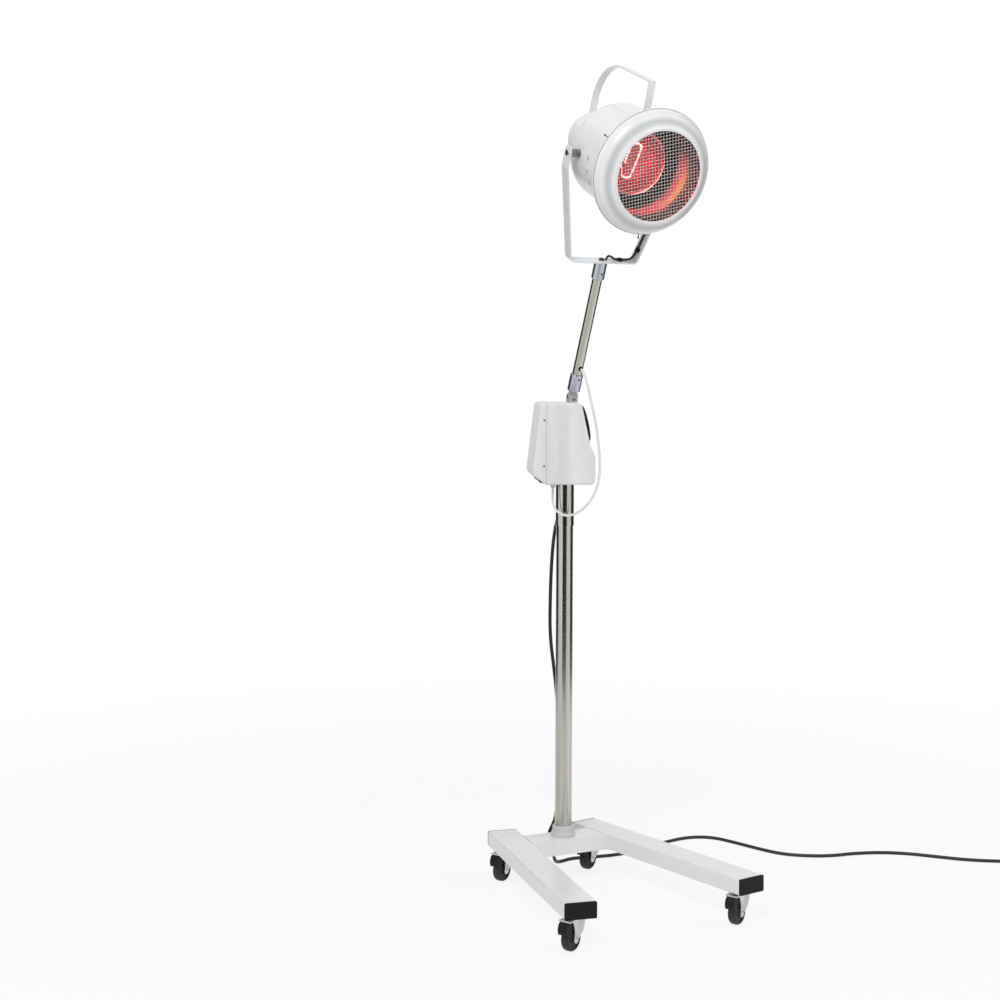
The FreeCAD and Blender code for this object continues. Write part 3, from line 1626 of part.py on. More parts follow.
def make_plug():
    """Moulded plug with a tapered strain relief, lying flat."""
    body = turned("plug_shape", plug, [
        (0, 0), (lead_radius + 1.1, 0), (lead_radius + 3.5, relief_long), (0, relief_long),
    ])
    face = new_sketch(body, "plug_face", "XY_Plane", relief_long)
    half_tall = size("plug_tall") / 2
    half_wide = size("plug_wide") / 2
    rectangle(face, -half_tall, -half_wide, half_tall, half_wide)
    pad(body, face, plug_long)
    rounded(body, 4, long_edges(plug_long))
    return node("plug_body", body)


def make_pin(name, aside):
    body = new_body(name, plug.moved(y=aside))
    section = new_sketch(body, name + "_section", "XY_Plane", relief_long + plug_long)
    circle(section, size("pin_blade"))
    pad(body, section, size("pin_long"))
    return body


make_plug()
pin_apart = size("pin_apart") / 2
group("plug_pins", [make_pin("pin_left", -pin_apart), make_pin("pin_right", pin_apart)])


# ---- checks and files -------------------------------------------------------------------------

doc.recompute()
for item in doc.Objects:
    if "Invalid" in item.State or "Error" in item.State:
        raise RuntimeError("%s: %s" % (item.Label, item.State))
os.makedirs("parts", exist_ok=True)
for item in nodes:
    if item.Shape.isNull() or not item.Shape.isValid():
        raise RuntimeError(item.Label + ": no valid shape")
    item.Shape.exportStep("parts/%s.step" % item.Label)
print(len(nodes), "sub-parts")
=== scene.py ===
import math
import bmesh
import bpy
from mathutils import Matrix, Vector
from mathutils.bvhtree import BVHTree


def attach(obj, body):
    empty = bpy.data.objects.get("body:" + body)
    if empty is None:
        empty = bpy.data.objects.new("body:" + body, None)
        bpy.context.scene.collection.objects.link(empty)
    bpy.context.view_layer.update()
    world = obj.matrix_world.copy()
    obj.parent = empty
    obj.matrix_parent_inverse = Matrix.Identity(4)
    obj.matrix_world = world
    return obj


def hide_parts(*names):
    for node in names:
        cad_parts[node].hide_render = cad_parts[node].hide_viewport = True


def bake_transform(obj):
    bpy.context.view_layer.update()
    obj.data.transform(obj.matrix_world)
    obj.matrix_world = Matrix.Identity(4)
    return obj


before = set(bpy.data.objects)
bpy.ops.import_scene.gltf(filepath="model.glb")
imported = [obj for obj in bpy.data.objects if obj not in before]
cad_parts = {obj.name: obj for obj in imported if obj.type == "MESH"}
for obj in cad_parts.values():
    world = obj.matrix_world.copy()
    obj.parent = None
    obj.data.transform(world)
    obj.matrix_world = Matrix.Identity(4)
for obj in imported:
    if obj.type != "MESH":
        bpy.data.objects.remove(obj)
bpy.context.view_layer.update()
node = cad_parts
scene = bpy.context.scene

# Infrared heat lamp on a wheeled stand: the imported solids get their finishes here, and the leads,
# wire guard, bulb, printed scale and weld beads are made in finer shape. Metres throughout.


# ---- measures shared with the solids ----------------------------------------------------------

LEAD_RADIUS = 0.0035
FLEX_RADIUS = 0.0024
YOKE_CABLE_RADIUS = 0.0022
APERTURE = 0.086
GUARD_TOP = 0.1384
GUARD_PITCH = 0.0062
GUARD_TURN = math.radians(13.7)
WIRE = 0.0006
GUARD_REACH = APERTURE + 0.0015
RIM_INNER = APERTURE + 0.0005
RIM_OUTER = APERTURE + 0.003
RIM_BEVEL = 0.0003
BULB_RADIUS = 0.0625
BULB_WIDE_AT = 0.046
BULB_NECK_AT = -0.030
BOWL_LOW = BULB_NECK_AT + 0.014
BOWL_HIGH = BULB_WIDE_AT - 0.008
BOWL_NARROW = 0.0225
BOWL_WIDE = BULB_RADIUS - 0.004
BOWL_WALL = 0.0006
BOWL_LIFT = 0.0002
BOWL_STEPS = 12
FILAMENT_TURN = -12
FILAMENT_WINDS = 60
FILAMENT_STEPS = 12
FILAMENT_COIL = 0.0011
FILAMENT_LONG = 0.034
FILAMENT_WIDE = 0.012
FILAMENT_AT = 0.030
BOX_AT = (0, 0, 0.793)
BOX_HEADING = -21
BOX_TALL = 0.161
BOX_WIDE = 0.118
BOX_ROUND = 0.005
SEAM_BACK = 0.044
RING_RADIUS = 0.1195
RING_AT = 0.106
SEAM_RADIUS = 0.0005
WELD_RADIUS = 0.0016
WELD_STEP = 0.0022
CROSS_HALF = 0.030
CROSS_TALL = 0.030
CROSS_LOW = 0.060
RAIL_SPLAY = math.radians(10)
CROSS_MIDDLE = 0.108 - CROSS_HALF / math.cos(RAIL_SPLAY)


def axes(origin, across, outward):
    """Frame with its x along across and its z along outward."""
    z = Vector(outward).normalized()
    x = Vector(across).normalized()
    return Matrix.Translation(Vector(origin)) @ Matrix((x, z.cross(x), z)).transposed().to_4x4()


YOKE = axes((0.012603, -0.120076, 1.23003), (1, 0, 0), (0, -0.39875, 0.91706))
HEAD = axes((0.012603, -0.205409, 1.426281), (1, 0, 0), (0, -0.93358, -0.35837))
DIAL = axes((0.032236, -0.012374, 0.9105), (0.1941, -0.07451, -0.97815), (0.91318, -0.35054, 0.20791))


# ---- camera -----------------------------------------------------------------------------------

LENS_IN_PIXELS = 1811
HORIZON_ROW = 350
PICTURE = 1000
SENSOR = 36
CAMERA_AT = (-1.7059, -3.1872, 1.0573)
CAMERA_HEADING = -26.08
CAMERA_ROLL = 0.29


def make_camera():
    data = bpy.data.cameras.new("picture")
    data.sensor_width = SENSOR
    data.lens = LENS_IN_PIXELS / PICTURE * SENSOR
    data.shift_y = (HORIZON_ROW - PICTURE / 2) / PICTURE
    camera = bpy.data.objects.new("picture", data)
    heading = Matrix.Rotation(math.radians(CAMERA_HEADING), 4, "Z")
    level = Matrix.Rotation(math.radians(90), 4, "X")
    roll = Matrix.Rotation(math.radians(CAMERA_ROLL), 4, "Z")
    camera.matrix_world = Matrix.Translation(CAMERA_AT) @ heading @ level @ roll
    scene.collection.objects.link(camera)
    scene.camera = camera


make_camera()


# ---- node trees -------------------------------------------------------------------------------

class Nodes:
    """A node tree that is being filled."""

    def __init__(self, tree):
        self.tree = tree

    def add(self, kind, sockets=None, **settings):
        made = self.tree.nodes.new(kind)
        for key, value in settings.items():
            setattr(made, key, value)
        for key, value in (sockets or {}).items():
            if isinstance(value, bpy.types.NodeSocket):
                self.tree.links.new(value, made.inputs[key])
            else:
                made.inputs[key].default_value = value
        return made

    def sum(self, operation, first, second=0.0, clamp=False):
        sockets = {0: first, 1: second}
        return self.add("ShaderNodeMath", sockets, operation=operation, use_clamp=clamp).outputs[0]

    def fit(self, value, low, high, to_low=0.0, to_high=1.0, smooth=False):
        """The value's range low to high, stretched to another range."""
        sockets = {"Value": value, "From Min": low, "From Max": high, "To Min": to_low, "To Max": to_high}
        course = "SMOOTHSTEP" if smooth else "LINEAR"
        return self.add("ShaderNodeMapRange", sockets, interpolation_type=course).outputs[0]

    def mix(self, share, first, second):
        return self.add("ShaderNodeMix", {0: share, 6: first, 7: second}, data_type="RGBA").outputs[2]

    def noise(self, place, scale, detail=2.0, rough=0.5):
        sockets = {"Vector": place, "Scale": scale, "Detail": detail, "Roughness": rough}
        return self.add("ShaderNodeTexNoise", sockets).outputs[0]

    def object_place(self):
        return self.add("ShaderNodeTexCoord").outputs["Object"]

    def turned(self, place, turn=(0, 0, 0), scale=(1, 1, 1)):
        return self.add("ShaderNodeMapping", {"Vector": place, "Rotation": turn, "Scale": scale}).outputs[0]


def new_group(name, inputs, outputs):
    """An empty node group, with its inputs' sockets and its output node."""
    tree = bpy.data.node_groups.new(name, "ShaderNodeTree")
    for label, value in inputs.items():
        kind = "NodeSocketVector" if value is None else "NodeSocketFloat"
        socket = tree.interface.new_socket(label, in_out="INPUT", socket_type=kind)
        if value is not None:
            socket.default_value = value
    for label in outputs:
        tree.interface.new_socket(label, in_out="OUTPUT", socket_type="NodeSocketFloat")
    nodes = Nodes(tree)
    start = nodes.add("NodeGroupInput").outputs
    end = nodes.add("NodeGroupOutput").inputs
    return nodes, start, end


def skin_group():
    """Fine uneven skin of paint or moulded plastic."""
    inputs = {"Grain": 900.0, "Waviness": 60.0, "Mottle": 9.0}
    nodes, start, end = new_group("Surface skin", inputs, ["Height", "Rough", "Tone"])
    place = nodes.object_place()
    grain = nodes.noise(place, start["Grain"], 2.0)
    waves = nodes.noise(place, start["Waviness"], 1.0)
    nodes.tree.links.new(nodes.sum("ADD", grain, nodes.sum("MULTIPLY", waves, 3.0)), end["Height"])
    mottle = nodes.noise(place, start["Mottle"], 4.0, 0.6)
    nodes.tree.links.new(nodes.fit(mottle, 0.3, 0.7), end["Rough"])
    nodes.tree.links.new(nodes.fit(nodes.noise(place, 3.1, 5.0, 0.7), 0.35, 0.65), end["Tone"])
    return nodes.tree


def scuff_group():
    """Short hairline scratches in two directions."""
    nodes, start, end = new_group("Scuffs", {"Size": 1.0, "Amount": 0.4}, ["Mask"])
    place = nodes.object_place()
    lines = []
    for turn, stretch in (((0.3, 0.7, 0.4), (400, 14, 14)), ((1.1, -0.5, 1.9), (18, 18, 460))):
        scaled = nodes.add("ShaderNodeVectorMath", {0: place, "Scale": start["Size"]}, operation="SCALE")
        line = nodes.noise(nodes.turned(scaled.outputs[0], turn, stretch), 1.0, 2.0)
        lines.append(nodes.fit(line, 0.66, 0.72))
    patches = nodes.fit(nodes.noise(place, 22.0, 2.0), 0.5, 0.7)
    both = nodes.sum("MULTIPLY", nodes.sum("MAXIMUM", *lines), patches)
    nodes.tree.links.new(nodes.sum("MULTIPLY", both, start["Amount"]), end["Mask"])
    return nodes.tree


def dust_group():
    """Dust that lies on what faces up, thicker in patches."""
    nodes, start, end = new_group("Dust", {"Amount": 0.3, "Patch": 30.0}, ["Mask"])
    normal = nodes.add("ShaderNodeNewGeometry").outputs["Normal"]
    up = nodes.add("ShaderNodeSeparateXYZ", {0: normal}).outputs[2]
    patches = nodes.fit(nodes.noise(nodes.object_place(), start["Patch"], 5.0, 0.7), 0.35, 0.75)
    lying = nodes.sum("MULTIPLY", nodes.fit(up, 0.3, 1.0), patches)
    nodes.tree.links.new(nodes.sum("MULTIPLY", lying, start["Amount"]), end["Mask"])
    return nodes.tree


def edge_group():
    """Edges and corners, where a finish is rubbed thin."""
    nodes, start, end = new_group("Rubbed edges", {"Width": 0.001, "Amount": 0.5}, ["Mask"])
    rounded = nodes.add("ShaderNodeBevel", {"Radius": start["Width"]}, samples=4).outputs[0]
    flat = nodes.add("ShaderNodeNewGeometry").outputs["Normal"]
    facing = nodes.add("ShaderNodeVectorMath", {0: rounded, 1: flat}, operation="DOT_PRODUCT")
    edge = nodes.fit(facing.outputs["Value"], 0.99, 0.8)
    broken = nodes.fit(nodes.noise(nodes.object_place(), 140.0, 4.0, 0.7), 0.4, 0.6)
    worn = nodes.sum("MULTIPLY", edge, broken)
    nodes.tree.links.new(nodes.sum("MULTIPLY", worn, start["Amount"]), end["Mask"])
    return nodes.tree


def streak_group():
    """Long streaks along a tube, in the tube's own directions: painted reflection, with fine polishing marks.
    """
    inputs = {"Place": None, "Across": 90.0, "Along": 1.2}
    nodes, start, end = new_group("Painted reflection streaks", inputs, ["Broad", "Fine"])
    for label, finer in (("Broad", 1.0), ("Fine", 9.0)):
        across = nodes.sum("MULTIPLY", start["Across"], finer)
        scale = nodes.add("ShaderNodeCombineXYZ", {0: across, 1: across, 2: start["Along"]}).outputs[0]
        place = nodes.add("ShaderNodeVectorMath", {0: start["Place"], 1: scale}, operation="MULTIPLY")
        nodes.tree.links.new(nodes.fit(nodes.noise(place.outputs[0], 1.0, 3.0), 0.32, 0.68), end[label])
    return nodes.tree


def head_group():
    """Where a point lies in the lamp's head, and how near it is to one heading round the axis."""
    inputs = {"Heading": 0.0, "Reach": 90.0}
    nodes, start, end = new_group("Place in head", inputs, ["Radius", "Height", "Toward"])
    to_head = HEAD.inverted()
    sockets = {
        "Vector": nodes.object_place(), "Rotation": to_head.to_euler(), "Location": to_head.translation}
    local = nodes.add("ShaderNodeMapping", sockets).outputs[0]
    across, up, height = nodes.add("ShaderNodeSeparateXYZ", {0: local}).outputs
    square = nodes.sum("ADD", nodes.sum("MULTIPLY", across, across), nodes.sum("MULTIPLY", up, up))
    aside = nodes.sum("SUBTRACT", nodes.sum("ARCTAN2", up, across), nodes.sum("RADIANS", start["Heading"]))
    edge = nodes.sum("COSINE", nodes.sum("RADIANS", start["Reach"]))
    nodes.tree.links.new(nodes.sum("SQRT", square), end["Radius"])
    nodes.tree.links.new(height, end["Height"])
    nodes.tree.links.new(nodes.fit(nodes.sum("COSINE", aside), edge, 1.0, smooth=True), end["Toward"])
    return nodes.tree


def band_group():
    """Share that rises from Start to Full, and falls away from Fall to Gone."""
    inputs = {"Value": 0.0, "Start": 0.0, "Full": 1.0, "Fall": 2.0, "Gone": 3.0}
    nodes, start, end = new_group("Band", inputs, ["Share"])
    rise = nodes.fit(start["Value"], start["Start"], start["Full"], smooth=True)
    fall = nodes.fit(start["Value"], start["Fall"], start["Gone"], 1.0, 0.0, smooth=True)
    nodes.tree.links.new(nodes.sum("MULTIPLY", rise, fall), end["Share"])
    return nodes.tree


SKIN = skin_group()
SCUFFS = scuff_group()
DUST = dust_group()
EDGES = edge_group()
REFLECTION_STREAKS = streak_group()
HEAD_PLACE = head_group()
BAND = band_group()


class Finish(Nodes):
    """A material: a Principled shader whose plain values are set on its own sockets."""

    def __init__(self, name, **values):
        self.material = bpy.data.materials.new(name)
        self.material.use_nodes = True
        super().__init__(self.material.node_tree)
        self.shader = self.tree.nodes["Principled BSDF"]
        for key, value in values.items():
            self.shader.inputs[key.replace("_", " ")].default_value = value

    def effect(self, group, **values):
        return self.add("ShaderNodeGroup", values, node_tree=group).outputs

    def band(self, value, edges):
        """Share of the band whose start, full, fall and gone are the edges."""
        start, full, fall, gone = edges
        return self.effect(BAND, Value=value, Start=start, Full=full, Fall=fall, Gone=gone)["Share"]

    def feed(self, socket, value):
        self.tree.links.new(value, self.shader.inputs[socket])

    def bump(self, height, distance, strength=1.0):
        sockets = {"Height": height, "Distance": distance, "Strength": strength}
        self.feed("Normal", self.add("ShaderNodeBump", sockets).outputs[0])


# ---- finishes ---------------------------------------------------------------------------------

def coated(name, colour, rough, grain, bump, rub=(0.62, 0.62, 0.60, 1), dust=0.1, shade=0.96, gloss=0.5,
           hollows=(), reflection_flow=0.0):
    """Paint, enamel or moulded plastic: uneven skin, scuffs, rubbed edges and dust.

    Hollows are rings of painted shade by radius in the head; upright streaks in the colour are painted
    reflection, at the share given.
    """
    finish = Finish(name, Specular_IOR_Level=gloss)
    skin = finish.effect(SKIN, Grain=grain)
    scuffs = finish.effect(SCUFFS, Amount=0.35)["Mask"]
    edges = finish.effect(EDGES, Width=0.0008, Amount=0.35)["Mask"]
    film = finish.effect(DUST, Amount=dust)["Mask"]
    darker = tuple(c * shade for c in colour) + (1,)
    toned = finish.mix(skin["Tone"], darker, tuple(colour) + (1,))
    # Painted reflection: soft upright darker streaks in the colour.
    if reflection_flow:
        streaks = finish.effect(REFLECTION_STREAKS, Place=finish.object_place(), Across=34.0, Along=3.0)["Broad"]
        reflected_dark = tuple(c * 0.55 for c in colour) + (1,)
        toned = finish.mix(finish.sum("MULTIPLY", streaks, reflection_flow), toned, reflected_dark)
    worn = finish.mix(edges, toned, rub)
    dust_and_shade = finish.mix(film, worn, (0.55, 0.53, 0.50, 1))
    # Painted shade: grey rings darken the head's recesses by radius.
    if hollows:
        radius = finish.effect(HEAD_PLACE)["Radius"]
        for *edges, depth in hollows:
            share = finish.band(radius, edges)
            uneven = finish.sum("MULTIPLY", share, finish.fit(skin["Rough"], 0.0, 1.0, depth * 0.8, depth))
            dust_and_shade = finish.mix(uneven, dust_and_shade, (0.30, 0.32, 0.32, 1))
    finish.feed("Base Color", dust_and_shade)
    shine = finish.fit(skin["Rough"], 0.0, 1.0, rough * 0.85, rough * 1.2)
    duller = finish.sum("ADD", finish.sum("MULTIPLY", scuffs, 0.25), finish.sum("MULTIPLY", film, 0.4))
    finish.feed("Roughness", finish.sum("ADD", shine, duller, True))
    finish.bump(skin["Height"], bump)
    return finish.material


def bare_metal(name, colour, dark, rough, blotch=40.0, bump=0.00002):
    """Plated, cast or turned metal with cloudy patches, hairlines and brighter edges."""
    finish = Finish(name, Metallic=1.0)
    place = finish.object_place()
    cloud = finish.fit(finish.noise(place, blotch, 5.0, 0.65), 0.32, 0.68)
    scuffs = finish.effect(SCUFFS, Size=1.6, Amount=0.7)["Mask"]
    edges = finish.effect(EDGES, Width=0.0006, Amount=0.6)["Mask"]
    clouded = finish.mix(cloud, tuple(dark) + (1,), tuple(colour) + (1,))
    finish.feed("Base Color", finish.mix(edges, clouded, (0.85, 0.85, 0.86, 1)))
    shine = finish.fit(cloud, 0.0, 1.0, rough * 1.35, rough * 0.8)
    finish.feed("Roughness", finish.sum("ADD", shine, finish.sum("MULTIPLY", scuffs, 0.3), True))
    finish.bump(finish.sum("ADD", scuffs, finish.noise(place, 1300.0)), bump)
    return finish.material


def chromed_tube(name, lean=0.0, rough=0.15, painted_dark=(0.43, 0.41, 0.36, 1), painted_light=(0.70, 0.69, 0.67, 1)):
    """Shiny plated tube whose colour carries long grey and brown streaks as painted reflection, with fine
    polishing marks.
    """
    finish = Finish(name, Metallic=1.0)
    place = finish.turned(finish.object_place(), (math.radians(-lean), 0, 0))
    streaks = finish.effect(REFLECTION_STREAKS, Place=place)
    scuffs = finish.effect(SCUFFS, Size=1.3, Amount=0.5)["Mask"]
    # Painted reflection: dark and pale streaks in the chrome's colour.
    streak_reflection = finish.mix(streaks["Broad"], painted_dark, painted_light)
    fine = finish.mix(finish.sum("MULTIPLY", streaks["Fine"], 0.22), streak_reflection, (0.30, 0.28, 0.25, 1))
    finish.feed("Base Color", fine)
    shine = finish.fit(streaks["Fine"], 0.0, 1.0, rough * 0.7, rough * 1.6)
    finish.feed("Roughness", finish.sum("ADD", shine, finish.sum("MULTIPLY", scuffs, 0.2), True))
    finish.bump(streaks["Fine"], 0.000012, 0.25)
    return finish.material


def rubber(name, colour, rough, grain=700.0, dust=0.12):
    """Sheath or tyre: dull, lightly dusty, with a fine drag texture."""
    finish = Finish(name, Specular_IOR_Level=0.4)
    skin = finish.effect(SKIN, Grain=grain, Mottle=25.0)
    film = finish.effect(DUST, Amount=dust, Patch=60.0)["Mask"]
    scuffs = finish.effect(SCUFFS, Size=2.0, Amount=0.6)["Mask"]
    lighter = tuple(min(1.0, c * 1.12 + 0.012) for c in colour) + (1,)
    toned = finish.mix(skin["Tone"], tuple(colour) + (1,), lighter)
    greyer = finish.sum("ADD", film, finish.sum("MULTIPLY", scuffs, 0.12), True)
    finish.feed("Base Color", finish.mix(greyer, toned, (0.42, 0.40, 0.38, 1)))
    finish.feed("Roughness", finish.fit(skin["Rough"], 0.0, 1.0, rough * 0.85, min(1.0, rough * 1.2)))
    finish.bump(skin["Height"], 0.00003)
    return finish.material


# Painted reflection of the bulb's glow on the reflector: bands by height in the head, and the headings they
# face.
RED_GLOW_REFLECTION = (0.048, 0.066, 0.090, 0.0985)
HOT_GLOW_REFLECTION = (0.070, 0.082, 0.092, 0.097)
THIN_GLOW_REFLECTION = (0.0995, 0.101, 0.1025, 0.104)
RED_HEADING = -54
RED_REACH = 84
HOT_HEADING = -29
HOT_REACH = 32
SHOULDER_HIGHLIGHT_HEADING = -44
SHOULDER_HIGHLIGHT_REACH = 50


def reflector_metal():
    """Spun aluminium, coloured dark as painted shade inside the head, with spinning rings and the bulb's glow
    painted as bands of light.

    A band's four figures are heights in the head, and its heading is the side that it is brightest on.
    """
    finish = Finish("spun_reflector", Metallic=1.0, Emission_Strength=1.0)
    place = finish.effect(HEAD_PLACE, Heading=RED_HEADING, Reach=RED_REACH)
    height = place["Height"]
    ring_place = finish.add("ShaderNodeCombineXYZ", {0: place["Radius"], 1: height}).outputs[0]
    haze = finish.fit(finish.noise(finish.object_place(), 24.0, 4.0), 0.35, 0.7)
    # Painted shade: the liner's colour is kept near black.
    finish.feed("Base Color", finish.mix(haze, (0.13, 0.125, 0.12, 1), (0.07, 0.065, 0.062, 1)))
    finish.feed("Roughness", finish.fit(haze, 0.0, 1.0, 0.24, 0.40))
    finish.bump(finish.noise(ring_place, 1100.0, 2.0), 0.00004)
    near = finish.fit(place["Toward"], 0.0, 0.8, 0.04, 1.0)
    red_band = finish.band(height, RED_GLOW_REFLECTION)
    hot_band = finish.band(height, HOT_GLOW_REFLECTION)
    thin_band = finish.band(height, THIN_GLOW_REFLECTION)
    red = finish.sum("MULTIPLY", finish.sum("MULTIPLY", red_band, near), finish.fit(haze, 0.0, 1.0, 1.0, 0.6))
    hot_side = finish.effect(HEAD_PLACE, Heading=HOT_HEADING, Reach=HOT_REACH)["Toward"]
    hot = finish.sum("MULTIPLY", hot_band, hot_side)
    ember = finish.mix(red, (0.0, 0.0, 0.0, 1), (0.95, 0.07, 0.09, 1))
    orange = finish.mix(hot, ember, (1.0, 0.25, 0.05, 1))
    thin = finish.sum("MULTIPLY", finish.sum("MULTIPLY", thin_band, near), 0.3)
    finish.feed("Emission Color", finish.mix(thin, orange, (0.75, 0.28, 0.28, 1)))
    return finish.material


def ruby_glass():
    """Red filter glass that glows from the filament behind it, with a painted highlight as a line at its
    shoulder.
    """
    finish = Finish("ruby_glass", Transmission_Weight=0.8, IOR=1.45)
    place = finish.effect(HEAD_PLACE, Heading=SHOULDER_HIGHLIGHT_HEADING, Reach=SHOULDER_HIGHLIGHT_REACH)
    radius, height = place["Radius"], place["Height"]
    glow = finish.fit(radius, 0.020, 0.060, 1.0, 0.35, smooth=True)
    # Painted highlight: a pale line at the glass's shoulder, strongest on one side.
    shoulder = finish.sum("MULTIPLY", finish.fit(radius, 0.0545, 0.0585), finish.fit(height, 0.036, 0.046))
    highlight_side = finish.fit(place["Toward"], 0.0, 1.0, 0.08, 1.0)
    cloudy = finish.fit(finish.noise(finish.object_place(), 34.0, 3.0), 0.3, 0.75, 0.7, 1.1)
    warmth = finish.sum("MULTIPLY", glow, cloudy, True)
    ember = finish.mix(warmth, (0.01, 0.001, 0.001, 1), (0.30, 0.018, 0.038, 1))
    painted_light = finish.sum("MULTIPLY", finish.sum("MULTIPLY", shoulder, highlight_side), 0.9)
    finish.feed("Emission Color", finish.mix(painted_light, ember, (2.4, 1.2, 1.0, 1)))
    seen = finish.add("ShaderNodeLightPath").outputs
    finish.feed("Emission Strength", finish.fit(seen["Is Glossy Ray"], 0.0, 1.0, 1.0, 0.3))
    finish.feed("Base Color", finish.mix(cloudy, (0.42, 0.02, 0.012, 1), (0.9, 0.10, 0.08, 1)))
    finish.feed("Roughness", finish.fit(cloudy, 0.7, 1.1, 0.08, 0.02))
    return finish.material


def glowing_wire():
    """Filament at working heat, which lights little of the bulb but shows through the red glass."""
    finish = Finish("glowing_wire", Roughness=0.5)
    heat = finish.fit(finish.noise(finish.object_place(), 90.0, 2.0), 0.3, 0.7)
    finish.feed("Emission Color", finish.mix(heat, (0.85, 0.60, 0.55, 1), (0.9, 0.85, 1.0, 1)))
    finish.feed("Base Color", finish.mix(heat, (0.4, 0.2, 0.1, 1), (0.6, 0.5, 0.4, 1)))
    seen = finish.add("ShaderNodeLightPath").outputs
    direct = finish.sum("MAXIMUM", seen["Is Camera Ray"], seen["Is Transmission Ray"])
    finish.feed("Emission Strength", finish.fit(direct, 0.0, 1.0, 1.0, 48.0))
    return finish.material


def printed(name, colour):
    """Printing ink, slightly broken where it has been touched."""
    finish = Finish(name)
    worn = finish.fit(finish.noise(finish.object_place(), 700.0, 3.0), 0.25, 0.6)
    finish.feed("Base Color", finish.mix(worn, tuple(c * 0.55 for c in colour) + (1,), tuple(colour) + (1,)))
    finish.feed("Roughness", finish.fit(worn, 0.0, 1.0, 0.65, 0.45))
    return finish.material


DARK_RUB = (0.12, 0.12, 0.12, 1)
# Each hollow of the ring, darkened as painted shade: the radii where the shade starts, is full, falls and is
# gone, and its depth of tone.
RING_SHADE_BANDS = ((0.093, 0.100, 0.1025, 0.112, 0.50), (0.113, 0.1145, 0.1155, 0.117, 0.10))

rail_coat = coated("rail_powder_coat", (0.83, 0.83, 0.825), 0.30, 1100.0, 0.00003, dust=0.12)
head_enamel = coated("head_enamel", (0.82, 0.825, 0.83), 0.22, 420.0, 0.000014, dust=0.05)
# The front ring's enamel carries painted shade in its recesses.
ring_enamel = coated(
    "ring_enamel", (0.80, 0.81, 0.815), 0.20, 420.0, 0.000014, dust=0.05, hollows=RING_SHADE_BANDS)
yoke_enamel = coated("yoke_enamel", (0.76, 0.785, 0.81), 0.24, 420.0, 0.000014, dust=0.06)
# The shell's upright streaks are painted reflection.
shell_plastic = coated(
    "shell_plastic", (0.79, 0.80, 0.81), 0.30, 1500.0, 0.00002, (0.7, 0.7, 0.69, 1), dust=0.05, reflection_flow=0.32)
cast_grey = coated("cast_grey", (0.42, 0.435, 0.46), 0.36, 900.0, 0.00003, dust=0.08)
black_cap = coated(
    "moulded_black", (0.008, 0.008, 0.009), 0.5, 1600.0, 0.00004, DARK_RUB, dust=0.05, shade=0.7, gloss=0.2)
dial_black = coated(
    "dial_black", (0.008, 0.008, 0.009), 0.38, 1400.0, 0.00003, DARK_RUB, dust=0.03, shade=0.7, gloss=0.25)
switch_black = coated(
    "switch_black", (0.006, 0.006, 0.007), 0.25, 1400.0, 0.00001, DARK_RUB, dust=0.02, shade=0.7, gloss=0.3)
inner_grey = coated("inner_grey", (0.20, 0.20, 0.21), 0.5, 1200.0, 0.00003, rub=(0.4, 0.4, 0.4, 1), dust=0.1)
glazed_white = coated("glazed_white", (0.78, 0.77, 0.73), 0.12, 300.0, 0.00002, (0.6, 0.56, 0.5, 1), 0.1)
collar_plastic = coated(
    "collar_plastic", (0.60, 0.61, 0.60), 0.42, 1300.0, 0.00003, rub=(0.75, 0.75, 0.74, 1), dust=0.1)
zinc = bare_metal("zinc_plate", (0.66, 0.67, 0.68), (0.42, 0.43, 0.45), 0.26)
alloy = bare_metal("satin_alloy", (0.62, 0.62, 0.63), (0.44, 0.44, 0.45), 0.34, 70.0)
turned_steel = bare_metal("turned_steel", (0.60, 0.60, 0.61), (0.36, 0.36, 0.37), 0.24, 120.0)
dark_steel = bare_metal("dark_steel", (0.10, 0.10, 0.10), (0.03, 0.03, 0.03), 0.34, 120.0)
spacer_steel = bare_metal("spacer_steel", (0.34, 0.35, 0.36), (0.16, 0.165, 0.17), 0.38, 120.0)
guard_wire = bare_metal("guard_wire", (0.80, 0.79, 0.77), (0.55, 0.54, 0.52), 0.26, 60.0)
silvering = bare_metal("silvering", (0.22, 0.21, 0.20), (0.12, 0.11, 0.10), 0.24, 60.0)
nickel = bare_metal("nickel_plate", (0.74, 0.70, 0.58), (0.58, 0.54, 0.42), 0.18, 90.0)
rolled_brass = bare_metal("rolled_brass", (0.66, 0.58, 0.40), (0.42, 0.35, 0.22), 0.28, 80.0)
mast_chrome = chromed_tube("mast_chrome")
arm_chrome = chromed_tube("arm_chrome", lean=23.5)
sleeve_chrome = chromed_tube("sleeve_chrome", 23.5, 0.22, (0.40, 0.43, 0.50, 1), (0.66, 0.70, 0.77, 1))
tyre = rubber("tyre", (0.009, 0.009, 0.010), 0.5, dust=0.05)
black_sheath = rubber("black_sheath", (0.012, 0.012, 0.013), 0.42, dust=0.04)
white_sheath = rubber("white_sheath", (0.68, 0.68, 0.68), 0.40, dust=0.04)
spun_reflector = reflector_metal()
red_glass = ruby_glass()
filament_glow = glowing_wire()
white_ink = printed("white_ink", (0.78, 0.78, 0.76))


def dress(material, *names):
    """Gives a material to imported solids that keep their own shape."""
    for name in names:
        data = node[name].data
        data.materials.clear()
        data.materials.append(material)


CORNERS = ("front_left", "front_right", "rear_left", "rear_right")

